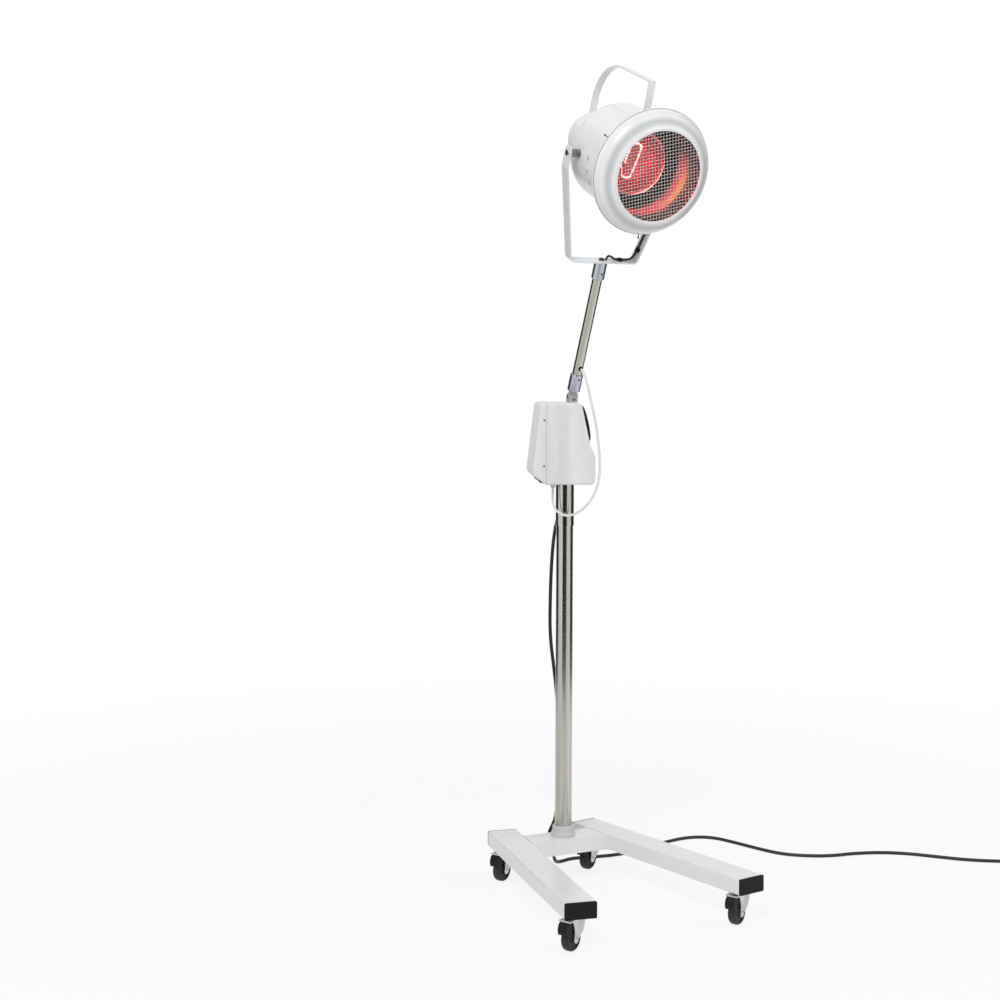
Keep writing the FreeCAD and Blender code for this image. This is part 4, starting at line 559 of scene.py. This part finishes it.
dress(rail_coat, "left_rail", "right_rail", "cross_tube")
dress(black_cap, "rail_end_caps")
dress(collar_plastic, "mast_socket")
dress(zinc, "caster_stems")
for corner in CORNERS:
    dress(zinc, corner + "_fork")
    dress(black_cap, corner + "_hood")
    dress(tyre, corner + "_wheel")
dress(mast_chrome, "mast_tube", "mast_sleeve")
dress(arm_chrome, "arm_tube")
dress(sleeve_chrome, "lower_sleeve", "upper_sleeve")
dress(shell_plastic, "rear_shell", "front_shell")
dress(turned_steel, "shell_screws", "hinge_pin", "pivot_screws")
dress(inner_grey, "mast_clamp", "timer_module")
dress(cast_grey, "hinge_base", "arm_knuckle")
dress(alloy, "dial_plate")
dress(dial_black, "timer_dial")
dress(switch_black, "switch_frame", "rocker")
dress(black_cap, "lead_gland", "grommet", "cable_clips", "plug_body")
dress(collar_plastic, "flex_gland")
dress(yoke_enamel, "yoke_strap")
dress(dark_steel, "arm_screws", "head_screws")
dress(spacer_steel, "pivot_spacers")
dress(head_enamel, "drum", "rear_cap", "handle")
dress(ring_enamel, "front_ring")
dress(spun_reflector, "reflector_liner")
dress(red_glass, "bulb_glass")
dress(rolled_brass, "bulb_screw_cap")
dress(glazed_white, "lampholder")
dress(nickel, "plug_pins")


# ---- making pieces ----------------------------------------------------------------------------

def place_piece(name, data, material, body, matrix=None):
    piece = bpy.data.objects.new(name, data)
    scene.collection.objects.link(piece)
    if matrix is not None:
        piece.matrix_world = matrix
    data.materials.clear()
    data.materials.append(material)
    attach(piece, body)
    return piece


def lathe(name, outline, material, body, matrix, steps=96, closed=False):
    """Turned piece: the outline's (radius, height) points, swept round the matrix's z."""
    form = bmesh.new()
    rows = []
    for radius, height in outline:
        ring = []
        for step in range(steps):
            angle = math.tau * step / steps
            ring.append(form.verts.new((radius * math.cos(angle), radius * math.sin(angle), height)))
        rows.append(ring)
    pairs = list(zip(rows, rows[1:]))
    if closed:
        pairs.append((rows[-1], rows[0]))
    for lower, upper in pairs:
        for step in range(steps):
            after = (step + 1) % steps
            form.faces.new((lower[step], lower[after], upper[after], upper[step]))
    if not closed:
        form.faces.new(list(reversed(rows[0])))
        form.faces.new(rows[-1])
    bmesh.ops.recalc_face_normals(form, faces=form.faces)
    data = bpy.data.meshes.new(name)
    form.to_mesh(data)
    form.free()
    data.shade_smooth()
    data.set_sharp_from_angle(angle=math.radians(38))
    return place_piece(name, data, material, body, matrix)


def add_spline(data, points, looped=False):
    """Adds to a curve a smooth spline that has the points as its control points."""
    spline = data.splines.new("NURBS")
    spline.points.add(len(points) - 1)
    for control, point in zip(spline.points, points):
        control.co = (*point, 1)
    spline.order_u = 3
    spline.use_endpoint_u = not looped
    spline.use_cyclic_u = looped


def line_through(name, points, radius=0.0, looped=False):
    """Smooth curve that has the points as its control points."""
    data = bpy.data.curves.new(name, "CURVE")
    data.dimensions = "3D"
    data.bevel_depth = radius
    data.bevel_resolution = 5
    data.resolution_u = 8
    data.use_fill_caps = True
    add_spline(data, points, looped)
    return data


def as_mesh(curve):
    """The mesh of a curve or of letters."""
    guide = bpy.data.objects.new("guide", curve)
    scene.collection.objects.link(guide)
    data = bpy.data.meshes.new_from_object(guide)
    bpy.data.objects.remove(guide)
    data.shade_smooth()
    return data


def read_line(points):
    """Points along the smooth curve of a route."""
    return [vertex.co.copy() for vertex in as_mesh(line_through("guide", points)).vertices]


def in_frame(matrix, points):
    return [matrix @ Vector(point) for point in points]


# ---- leads ------------------------------------------------------------------------------------

LEAD_ROUTE = [
    (0.0096, 0.0306, 0.784), (0.009, 0.0313, 0.758), (0.0035, 0.0336, 0.728), (-0.0045, 0.037, 0.690),
    (-0.008, 0.041, 0.630), (-0.009, 0.044, 0.560), (-0.0088, 0.045, 0.480), (0.0025, 0.043, 0.400),
    (0.0095, 0.043, 0.330), (0.0095, 0.0435, 0.230), (0.0095, 0.045, 0.165), (0.0095, 0.0465, 0.123),
    (0.004, 0.049, 0.102), (-0.0055, 0.054, 0.081), (0.001, 0.061, 0.054), (0.015, 0.071, 0.033),
    (0.030, 0.090, 0.010), (0.052, 0.108, 0.0036), (0.085, 0.120, 0.0036),
    (0.124, 0.111, 0.0036), (0.165, 0.104, 0.0036), (0.206, 0.105, 0.0036), (0.256, 0.122, 0.0036),
    (0.329, 0.145, 0.0036), (0.391, 0.157, 0.0036), (0.438, 0.135, 0.0036), (0.460, 0.074, 0.0036),
    (0.482, 0.0, 0.0036), (0.503, -0.044, 0.0036), (0.543, -0.076, 0.0036), (0.588, -0.095, 0.0036),
    (0.640, -0.099, 0.0036), (0.700, -0.119, 0.0036), (0.745, -0.152, 0.0036), (0.779, -0.191, 0.0036),
    (0.824, -0.240, 0.0036), (0.876, -0.275, 0.0036), (0.932, -0.303, 0.0036), (0.983, -0.335, 0.0036),
]
TAIL_ROUTE = [(0.9865, -0.412, 0.0098), (0.972, -0.428, 0.0094), (0.956, -0.442, 0.0092)]
FLEX_ROUTE = [
    (0.0126, -0.0418, 1.0197), (0.0135, -0.052, 1.013), (0.0175, -0.0575, 0.994), (0.024, -0.059, 0.963),
    (0.0315, -0.062, 0.930), (0.0384, -0.065, 0.887), (0.0428, -0.0677, 0.830), (0.038, -0.0655, 0.787),
    (0.024, -0.0575, 0.756), (0.005, -0.0435, 0.735), (-0.014, -0.029, 0.729), (-0.028, -0.017, 0.738),
    (-0.032, -0.010, 0.752), (-0.0314, -0.007, 0.768), (-0.031, -0.0065, 0.784),
]
YOKE_ROUTE = [
    (0.0095, 0.0, 0.0004), (0.0096, 0.0, 0.008), (0.0145, -0.0001, 0.0125), (0.0208, -0.0003, 0.010),
    (0.027, -0.0004, 0.0063), (0.034, 0.0, 0.0052), (0.049, 0.0002, 0.0052), (0.065, 0.0, 0.0064),
    (0.0722, 0.0, 0.0192), (0.079, 0.0003, 0.0435), (0.087, -0.0002, 0.076), (0.097, 0.0003, 0.113),
    (0.107, 0.0, 0.152), (0.115, 0.0, 0.184), (0.1159, 0.0, 0.2056),
]
COIL_CENTRE = (0.960, -0.372)
COIL_INNER = 0.0372
COIL_OUTER = 0.0443
COIL_LOW = 0.0036
COIL_HIGH = 0.0107
COIL_ENTRY = 58
COIL_TURNED = 1170
COIL_STEP = 24
COIL_CROSSES = (290, 650, 1010)
CROSSING = 60
CROSSING_LIFT = 0.0026


def coil_points():
    """Turns of the stored lead: low outside, low inside, high inside, then high outside.

    At each of COIL_CROSSES, in degrees turned, it starts to cross to its next place.
    """
    wide = COIL_OUTER - COIL_INNER
    points = []
    for turned in range(COIL_STEP, COIL_TURNED - COIL_STEP // 2, COIL_STEP):
        shares = [min(1.0, max(0.0, (turned - start) / CROSSING)) for start in COIL_CROSSES]
        inward, upward, outward = (math.radians(90) * share * share * (3 - 2 * share) for share in shares)
        radius = COIL_INNER + wide * (math.cos(inward) + math.sin(outward))
        height = COIL_LOW + (COIL_HIGH - COIL_LOW) * math.sin(upward) + CROSSING_LIFT * math.sin(2 * outward)
        angle = math.radians(COIL_ENTRY - turned)
        across, away = radius * math.cos(angle), radius * math.sin(angle)
        points.append((COIL_CENTRE[0] + across, COIL_CENTRE[1] + away, height))
    return points


def make_mains_lead():
    route = LEAD_ROUTE + coil_points() + TAIL_ROUTE
    lead = place_piece("supply_lead", line_through("supply_lead", route, LEAD_RADIUS), black_sheath, "stand")
    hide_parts("mains_lead", "lead_coil", "lead_tail")


def make_flex():
    """White flex from the arm to the box, in one fixed shape that doesn't follow the arm's tilt."""
    data = as_mesh(line_through("white_flex", FLEX_ROUTE, FLEX_RADIUS))
    flex = place_piece("white_flex", data, white_sheath, "stand")
    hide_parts("flex_cable")
    flex.parent = None
    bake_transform(flex)
    [tuple(point) for point in read_line(FLEX_ROUTE)]


def make_yoke_cable():
    route = [tuple(point) for point in in_frame(YOKE, YOKE_ROUTE)]
    line = line_through("head_cable", route, YOKE_CABLE_RADIUS)
    cable = place_piece("head_cable", line, black_sheath, "yoke")
    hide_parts("yoke_cable")


make_mains_lead()
make_flex()
make_yoke_cable()


# ---- wire guard -------------------------------------------------------------------------------

def guard_outline(away, shift):
    """One wire of the guard: it goes over and under those that it crosses."""
    half = math.sqrt(GUARD_REACH ** 2 - away ** 2)
    crossings = int(half / GUARD_PITCH)
    points = [(-half, away, 0)]
    for crossing in range(-crossings, crossings + 1):
        side = 1 if (crossing + shift) % 2 else -1
        points.append((crossing * GUARD_PITCH, away, side * WIRE))
    points.append((half, away, 0))
    return points


def make_guard():
    """Woven square mesh in its flat rim."""
    middle = GUARD_TOP - 2 * WIRE
    data = bpy.data.curves.new("guard_wires", "CURVE")
    data.dimensions = "3D"
    data.bevel_depth = WIRE
    data.bevel_resolution = 2
    data.resolution_u = 4
    wires = int(GUARD_REACH / GUARD_PITCH)
    for layer in (0, 1):
        turn = Matrix.Translation((0, 0, middle)) @ Matrix.Rotation(GUARD_TURN + layer * math.pi / 2, 4, "Z")
        for index in range(-wires, wires + 1):
            add_spline(data, in_frame(turn, guard_outline(index * GUARD_PITCH, index + layer)))
    wires = place_piece("guard_wires", as_mesh(data), guard_wire, "head", HEAD)
    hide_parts("mesh")
    low = GUARD_TOP - 4 * WIRE
    outline = [
        (RIM_INNER + RIM_BEVEL, GUARD_TOP), (RIM_OUTER, GUARD_TOP), (RIM_OUTER, low), (RIM_INNER, low),
        (RIM_INNER, GUARD_TOP - RIM_BEVEL),
    ]
    rim = lathe("guard_rim", outline, guard_wire, "head", HEAD, 128, closed=True)


make_guard()


# ---- inside of the bulb -----------------------------------------------------------------------

def make_bulb_inside():
    """Silvered bowl behind the filament, and the coiled filament on its two legs."""
    bowl = []
    for step in range(BOWL_STEPS + 1):
        share = step / BOWL_STEPS
        height = BOWL_LOW + share * (BOWL_HIGH - BOWL_LOW)
        radius = BOWL_NARROW + (BOWL_WIDE - BOWL_NARROW) * math.sin(share * math.pi / 2) ** 0.9
        bowl.append((radius, height))
    inner = [(radius - BOWL_WALL, height + BOWL_LIFT) for radius, height in reversed(bowl)]
    silver = lathe("bulb_silvering", bowl + inner, silvering, "head", HEAD, 96, closed=True)
    loop = []
    steps = FILAMENT_WINDS * FILAMENT_STEPS
    for step in range(0, steps + 1):
        around = math.radians(-100 + 310 * step / steps)
        wind = math.tau * step / FILAMENT_STEPS
        long = FILAMENT_LONG + FILAMENT_COIL * math.cos(wind)
        wide = FILAMENT_WIDE + FILAMENT_COIL * math.cos(wind)
        square = max(abs(math.cos(around)), abs(math.sin(around))) ** 0.7
        height = FILAMENT_AT + FILAMENT_COIL * math.sin(wind)
        loop.append((wide * math.sin(around) / square, long * math.cos(around) / square, height))
    legs = [(0.003, -0.005, -0.026), (0.006, -0.010, 0.012)]
    far_legs = [(-0.006, -0.010, 0.012), (-0.003, -0.005, -0.026)]
    data = line_through("filament", legs + loop + far_legs, 0.0007)
    data.bevel_resolution = 1
    data.resolution_u = 2
    turn = Matrix.Rotation(math.radians(FILAMENT_TURN), 4, "Z")
    coil = place_piece("filament", as_mesh(data), filament_glow, "head", HEAD @ turn)


make_bulb_inside()


# ---- strain reliefs ---------------------------------------------------------------------------

RIBS = 7
RIB_PITCH = 0.0036
RIB_LONG = 0.0022
RIB_DEEP = 0.0006
RELIEF_RADIUS = 0.0062
RELIEF_TAPER = 0.0018
RELIEF_END = 0.0038


def make_lead_relief():
    """Ribbed, tapered sleeve where the supply lead leaves the box."""
    start = Vector(LEAD_ROUTE[0])
    down = (Vector(LEAD_ROUTE[1]) - start).normalized()
    outline = []
    for rib in range(RIBS):
        radius = RELIEF_RADIUS - RELIEF_TAPER * rib / (RIBS - 1)
        neck = radius - RIB_DEEP
        low = RIB_PITCH * rib
        outline += [(radius, low), (radius, low + RIB_LONG), (neck, low + 0.0024), (neck, low + 0.0034)]
    outline.append((RELIEF_END, RIBS * RIB_PITCH))
    relief = lathe("lead_relief", outline, black_sheath, "stand", axes(start, down.orthogonal(), down), 48)


make_lead_relief()


# ---- seams and welds --------------------------------------------------------------------------

def make_shell_seam():
    """Grey gasket that shows as a fine line where the box's halves meet."""
    box = Matrix.Translation(BOX_AT) @ Matrix.Rotation(math.radians(BOX_HEADING), 4, "Z")
    half = BOX_WIDE / 2
    outline = []
    high, low = BOX_TALL - BOX_ROUND, BOX_ROUND
    for side, up, start in ((1, high, 0), (-1, high, 90), (-1, low, 180), (1, low, 270)):
        for step in range(4):
            angle = math.radians(start + 30 * step)
            across = side * (half - BOX_ROUND) + BOX_ROUND * math.cos(angle)
            outline.append(box @ Vector((-SEAM_BACK, across, up + BOX_ROUND * math.sin(angle))))
    seam = line_through("shell_seam", outline, SEAM_RADIUS, looped=True)
    place_piece("shell_seam", as_mesh(seam), cast_grey, "stand")


def make_ring_bead():
    """Rolled bead round the head's front ring, and in front of it a dark line that is a painted shadow in the
    gap at the ring's edge.
    """
    # The dark line is painted shadow at the ring's edge.
    for name, material, radius, height, thick in (
            ("ring_bead", head_enamel, RING_RADIUS + 0.0002, RING_AT + 0.0020, 0.0013),
            ("ring_shadow_line", inner_grey, RING_RADIUS, RING_AT + 0.0038, 0.0006)):
        outline = []
        for step in range(16):
            angle = math.tau * step / 16
            outline.append((radius + thick * math.cos(angle), height + thick * math.sin(angle)))
        lathe(name, outline, material, "head", HEAD, 160, closed=True)


def make_weld(name, side):
    """Painted weld bead round the joint of the cross tube with a rail."""
    corners = []
    front, back = -CROSS_HALF, CROSS_HALF
    for along, tall in ((front, 0), (front, CROSS_TALL), (back, CROSS_TALL), (back, 0)):
        across = side * (CROSS_MIDDLE - along * math.tan(RAIL_SPLAY))
        corners.append(Vector((across, along, CROSS_LOW + tall)))
    points = []
    for start, end in zip(corners, corners[1:] + corners[:1]):
        steps = int((end - start).length / WELD_STEP)
        for step in range(steps):
            points.append(start.lerp(end, step / steps))
    data = line_through(name, points, WELD_RADIUS, looped=True)
    data.bevel_resolution = 2
    data.resolution_u = 2
    for index, control in enumerate(data.splines[0].points):
        control.radius = 1 + 0.22 * math.sin(2.1 * index) + 0.1 * math.sin(0.37 * index)
    place_piece(name, as_mesh(data), rail_coat, "stand")


make_ring_bead()
make_weld("weld_left", -1)
make_weld("weld_right", 1)
make_shell_seam()


# ---- printed scale ----------------------------------------------------------------------------

MINUTES = 30
MINUTE_TURN = 10
TICK_REACH = 0.0335
TICK_HALF = 0.0002
NUMBER_REACH = 0.0268
NUMBER_TALL = 0.0062
INK_THICK = 0.0001


def printed_mark(name, data, matrix):
    """Flat print pressed onto the dial's face."""
    data.transform(matrix)
    surface = BVHTree.FromPolygons(
        [vertex.co for vertex in node["timer_dial"].data.vertices],
        [polygon.vertices for polygon in node["timer_dial"].data.polygons])
    outward = DIAL.to_3x3() @ Vector((0, 0, 1))
    for vertex in data.vertices:
        hit = surface.ray_cast(vertex.co + outward * 0.03, -outward)[0]
        if hit:
            vertex.co = hit + outward * INK_THICK
    mark = place_piece(name, data, white_ink, "timer_dial")


def text_mesh(words, height):
    data = bpy.data.curves.new("words", "FONT")
    data.body = words
    data.size = height
    data.align_x = "CENTER"
    data.align_y = "CENTER"
    return as_mesh(data)


def make_scale():
    """Minutes round the dial: a number at each five, and a tick at each minute."""
    form = bmesh.new()
    for minute in range(MINUTES + 1):
        angle = math.radians(180 - MINUTE_TURN * minute)
        turn = Matrix.Rotation(angle, 4, "Z")
        long = 0.0034 if minute % 5 == 0 else 0.002
        start = TICK_REACH - long
        corners = [(TICK_REACH, -TICK_HALF), (TICK_REACH, TICK_HALF), (start, TICK_HALF), (start, -TICK_HALF)]
        form.faces.new([form.verts.new(turn @ Vector((x, y, 0))) for x, y in corners])
    ticks = bpy.data.meshes.new("dial_ticks")
    form.to_mesh(ticks)
    form.free()
    printed_mark("dial_ticks", ticks, DIAL)
    for minute in range(0, MINUTES + 1, 5):
        angle = math.radians(180 - MINUTE_TURN * minute)
        place = Matrix.Translation((NUMBER_REACH * math.cos(angle), NUMBER_REACH * math.sin(angle), 0))
        upright = Matrix.Rotation(math.radians(90), 4, "Z")
        number = text_mesh(str(minute), NUMBER_TALL)
        printed_mark("dial_number_%02d" % minute, number, DIAL @ place @ upright)


make_scale()


# ---- studio -----------------------------------------------------------------------------------

FLAG_AWAY = 2.0
FLAG_TALL = 3.2
FLOOR_LOW = -0.0005
FLOOR_HALF = 30
FLOOR_LIT_NEAR = 0.84
SHADE_ENDS = 0.6
WHITE_STARTS = 2.6
WORLD_LIGHT = 0.50
LAMP_MIDDLE = (0, -0.1, 0.8)


def plain_stage(name, colour, matrix, half):
    data = bpy.data.meshes.new(name)
    form = bmesh.new()
    bmesh.ops.create_grid(form, x_segments=1, y_segments=1, size=half)
    form.to_mesh(data)
    form.free()
    piece = bpy.data.objects.new(name, data)
    piece.matrix_world = matrix
    scene.collection.objects.link(piece)
    finish = Finish(name, Base_Color=(*colour, 1), Roughness=0.9)
    data.materials.append(finish.material)
    return piece, finish


def make_floor():
    """Pale floor that keeps the lamp's shadow and turns, further out, as white as the backdrop."""
    finish = plain_stage("floor", (0.88, 0.88, 0.88), Matrix.Translation((0, 0, FLOOR_LOW)), FLOOR_HALF)[1]
    out = finish.tree.nodes["Material Output"]
    light = finish.add("ShaderNodeEmission", {"Color": (1, 1, 1, 1), "Strength": 1.0})
    seen = finish.add("ShaderNodeLightPath").outputs
    place = finish.add("ShaderNodeNewGeometry").outputs["Position"]
    away = finish.add("ShaderNodeVectorMath", {0: place}, operation="LENGTH").outputs["Value"]
    whiter = finish.fit(away, SHADE_ENDS, WHITE_STARTS, FLOOR_LIT_NEAR, 1.0, smooth=True)
    shown = finish.sum("MAXIMUM", seen["Is Camera Ray"], seen["Is Glossy Ray"])
    share = finish.sum("MULTIPLY", shown, whiter)
    both = finish.add("ShaderNodeMixShader", {0: share, 1: finish.shader.outputs[0], 2: light.outputs[0]})
    finish.tree.links.new(both.outputs[0], out.inputs["Surface"])


def make_flag(name, bearing, width):
    """Dark card that only shiny surfaces show."""
    out = Matrix.Translation((FLAG_AWAY, 0, FLAG_TALL / 2))
    facing = Matrix.Rotation(math.radians(bearing), 4, "Z") @ out
    upright = Matrix.Rotation(math.radians(90), 4, "Y") @ Matrix.Diagonal((FLAG_TALL / 2, width / 2, 1, 1))
    card = plain_stage(name, (0.015, 0.015, 0.015), facing @ upright, 1)[0]
    card.visible_camera = False
    card.visible_diffuse = False
    card.visible_transmission = False
    card.visible_shadow = False


def make_world():
    """Even light from all round, which shows as plain white."""
    world = bpy.data.worlds.new("studio")
    scene.world = world
    world.use_nodes = True
    nodes = Nodes(world.node_tree)
    background = world.node_tree.nodes["Background"]
    seen = nodes.add("ShaderNodeLightPath").outputs
    bent = nodes.sum("MAXIMUM", seen["Is Glossy Ray"], seen["Is Transmission Ray"])
    direct = nodes.sum("MAXIMUM", seen["Is Camera Ray"], bent)
    background.inputs["Color"].default_value = (1, 1, 1, 1)
    world.node_tree.links.new(nodes.fit(direct, 0.0, 1.0, WORLD_LIGHT, 1.0), background.inputs["Strength"])


def make_softbox(name, place, size, power):
    data = bpy.data.lights.new(name, "AREA")
    data.shape = "RECTANGLE"
    data.size, data.size_y = size
    data.energy = power
    lamp = bpy.data.objects.new(name, data)
    lamp.location = place
    lamp.rotation_euler = (Vector(LAMP_MIDDLE) - Vector(place)).to_track_quat("-Z", "Y").to_euler()
    scene.collection.objects.link(lamp)


make_floor()
make_flag("front_flag", -119, 2.1)
make_flag("left_flag", 124, 2.3)
make_flag("right_flag", -8, 2.4)
make_world()
make_softbox("key", (-2.2, -2.6, 3.4), (1.6, 1.6), 86)
make_softbox("side", (2.6, -1.4, 2.2), (1.0, 2.4), 22)
scene.view_settings.view_transform = "Standard"
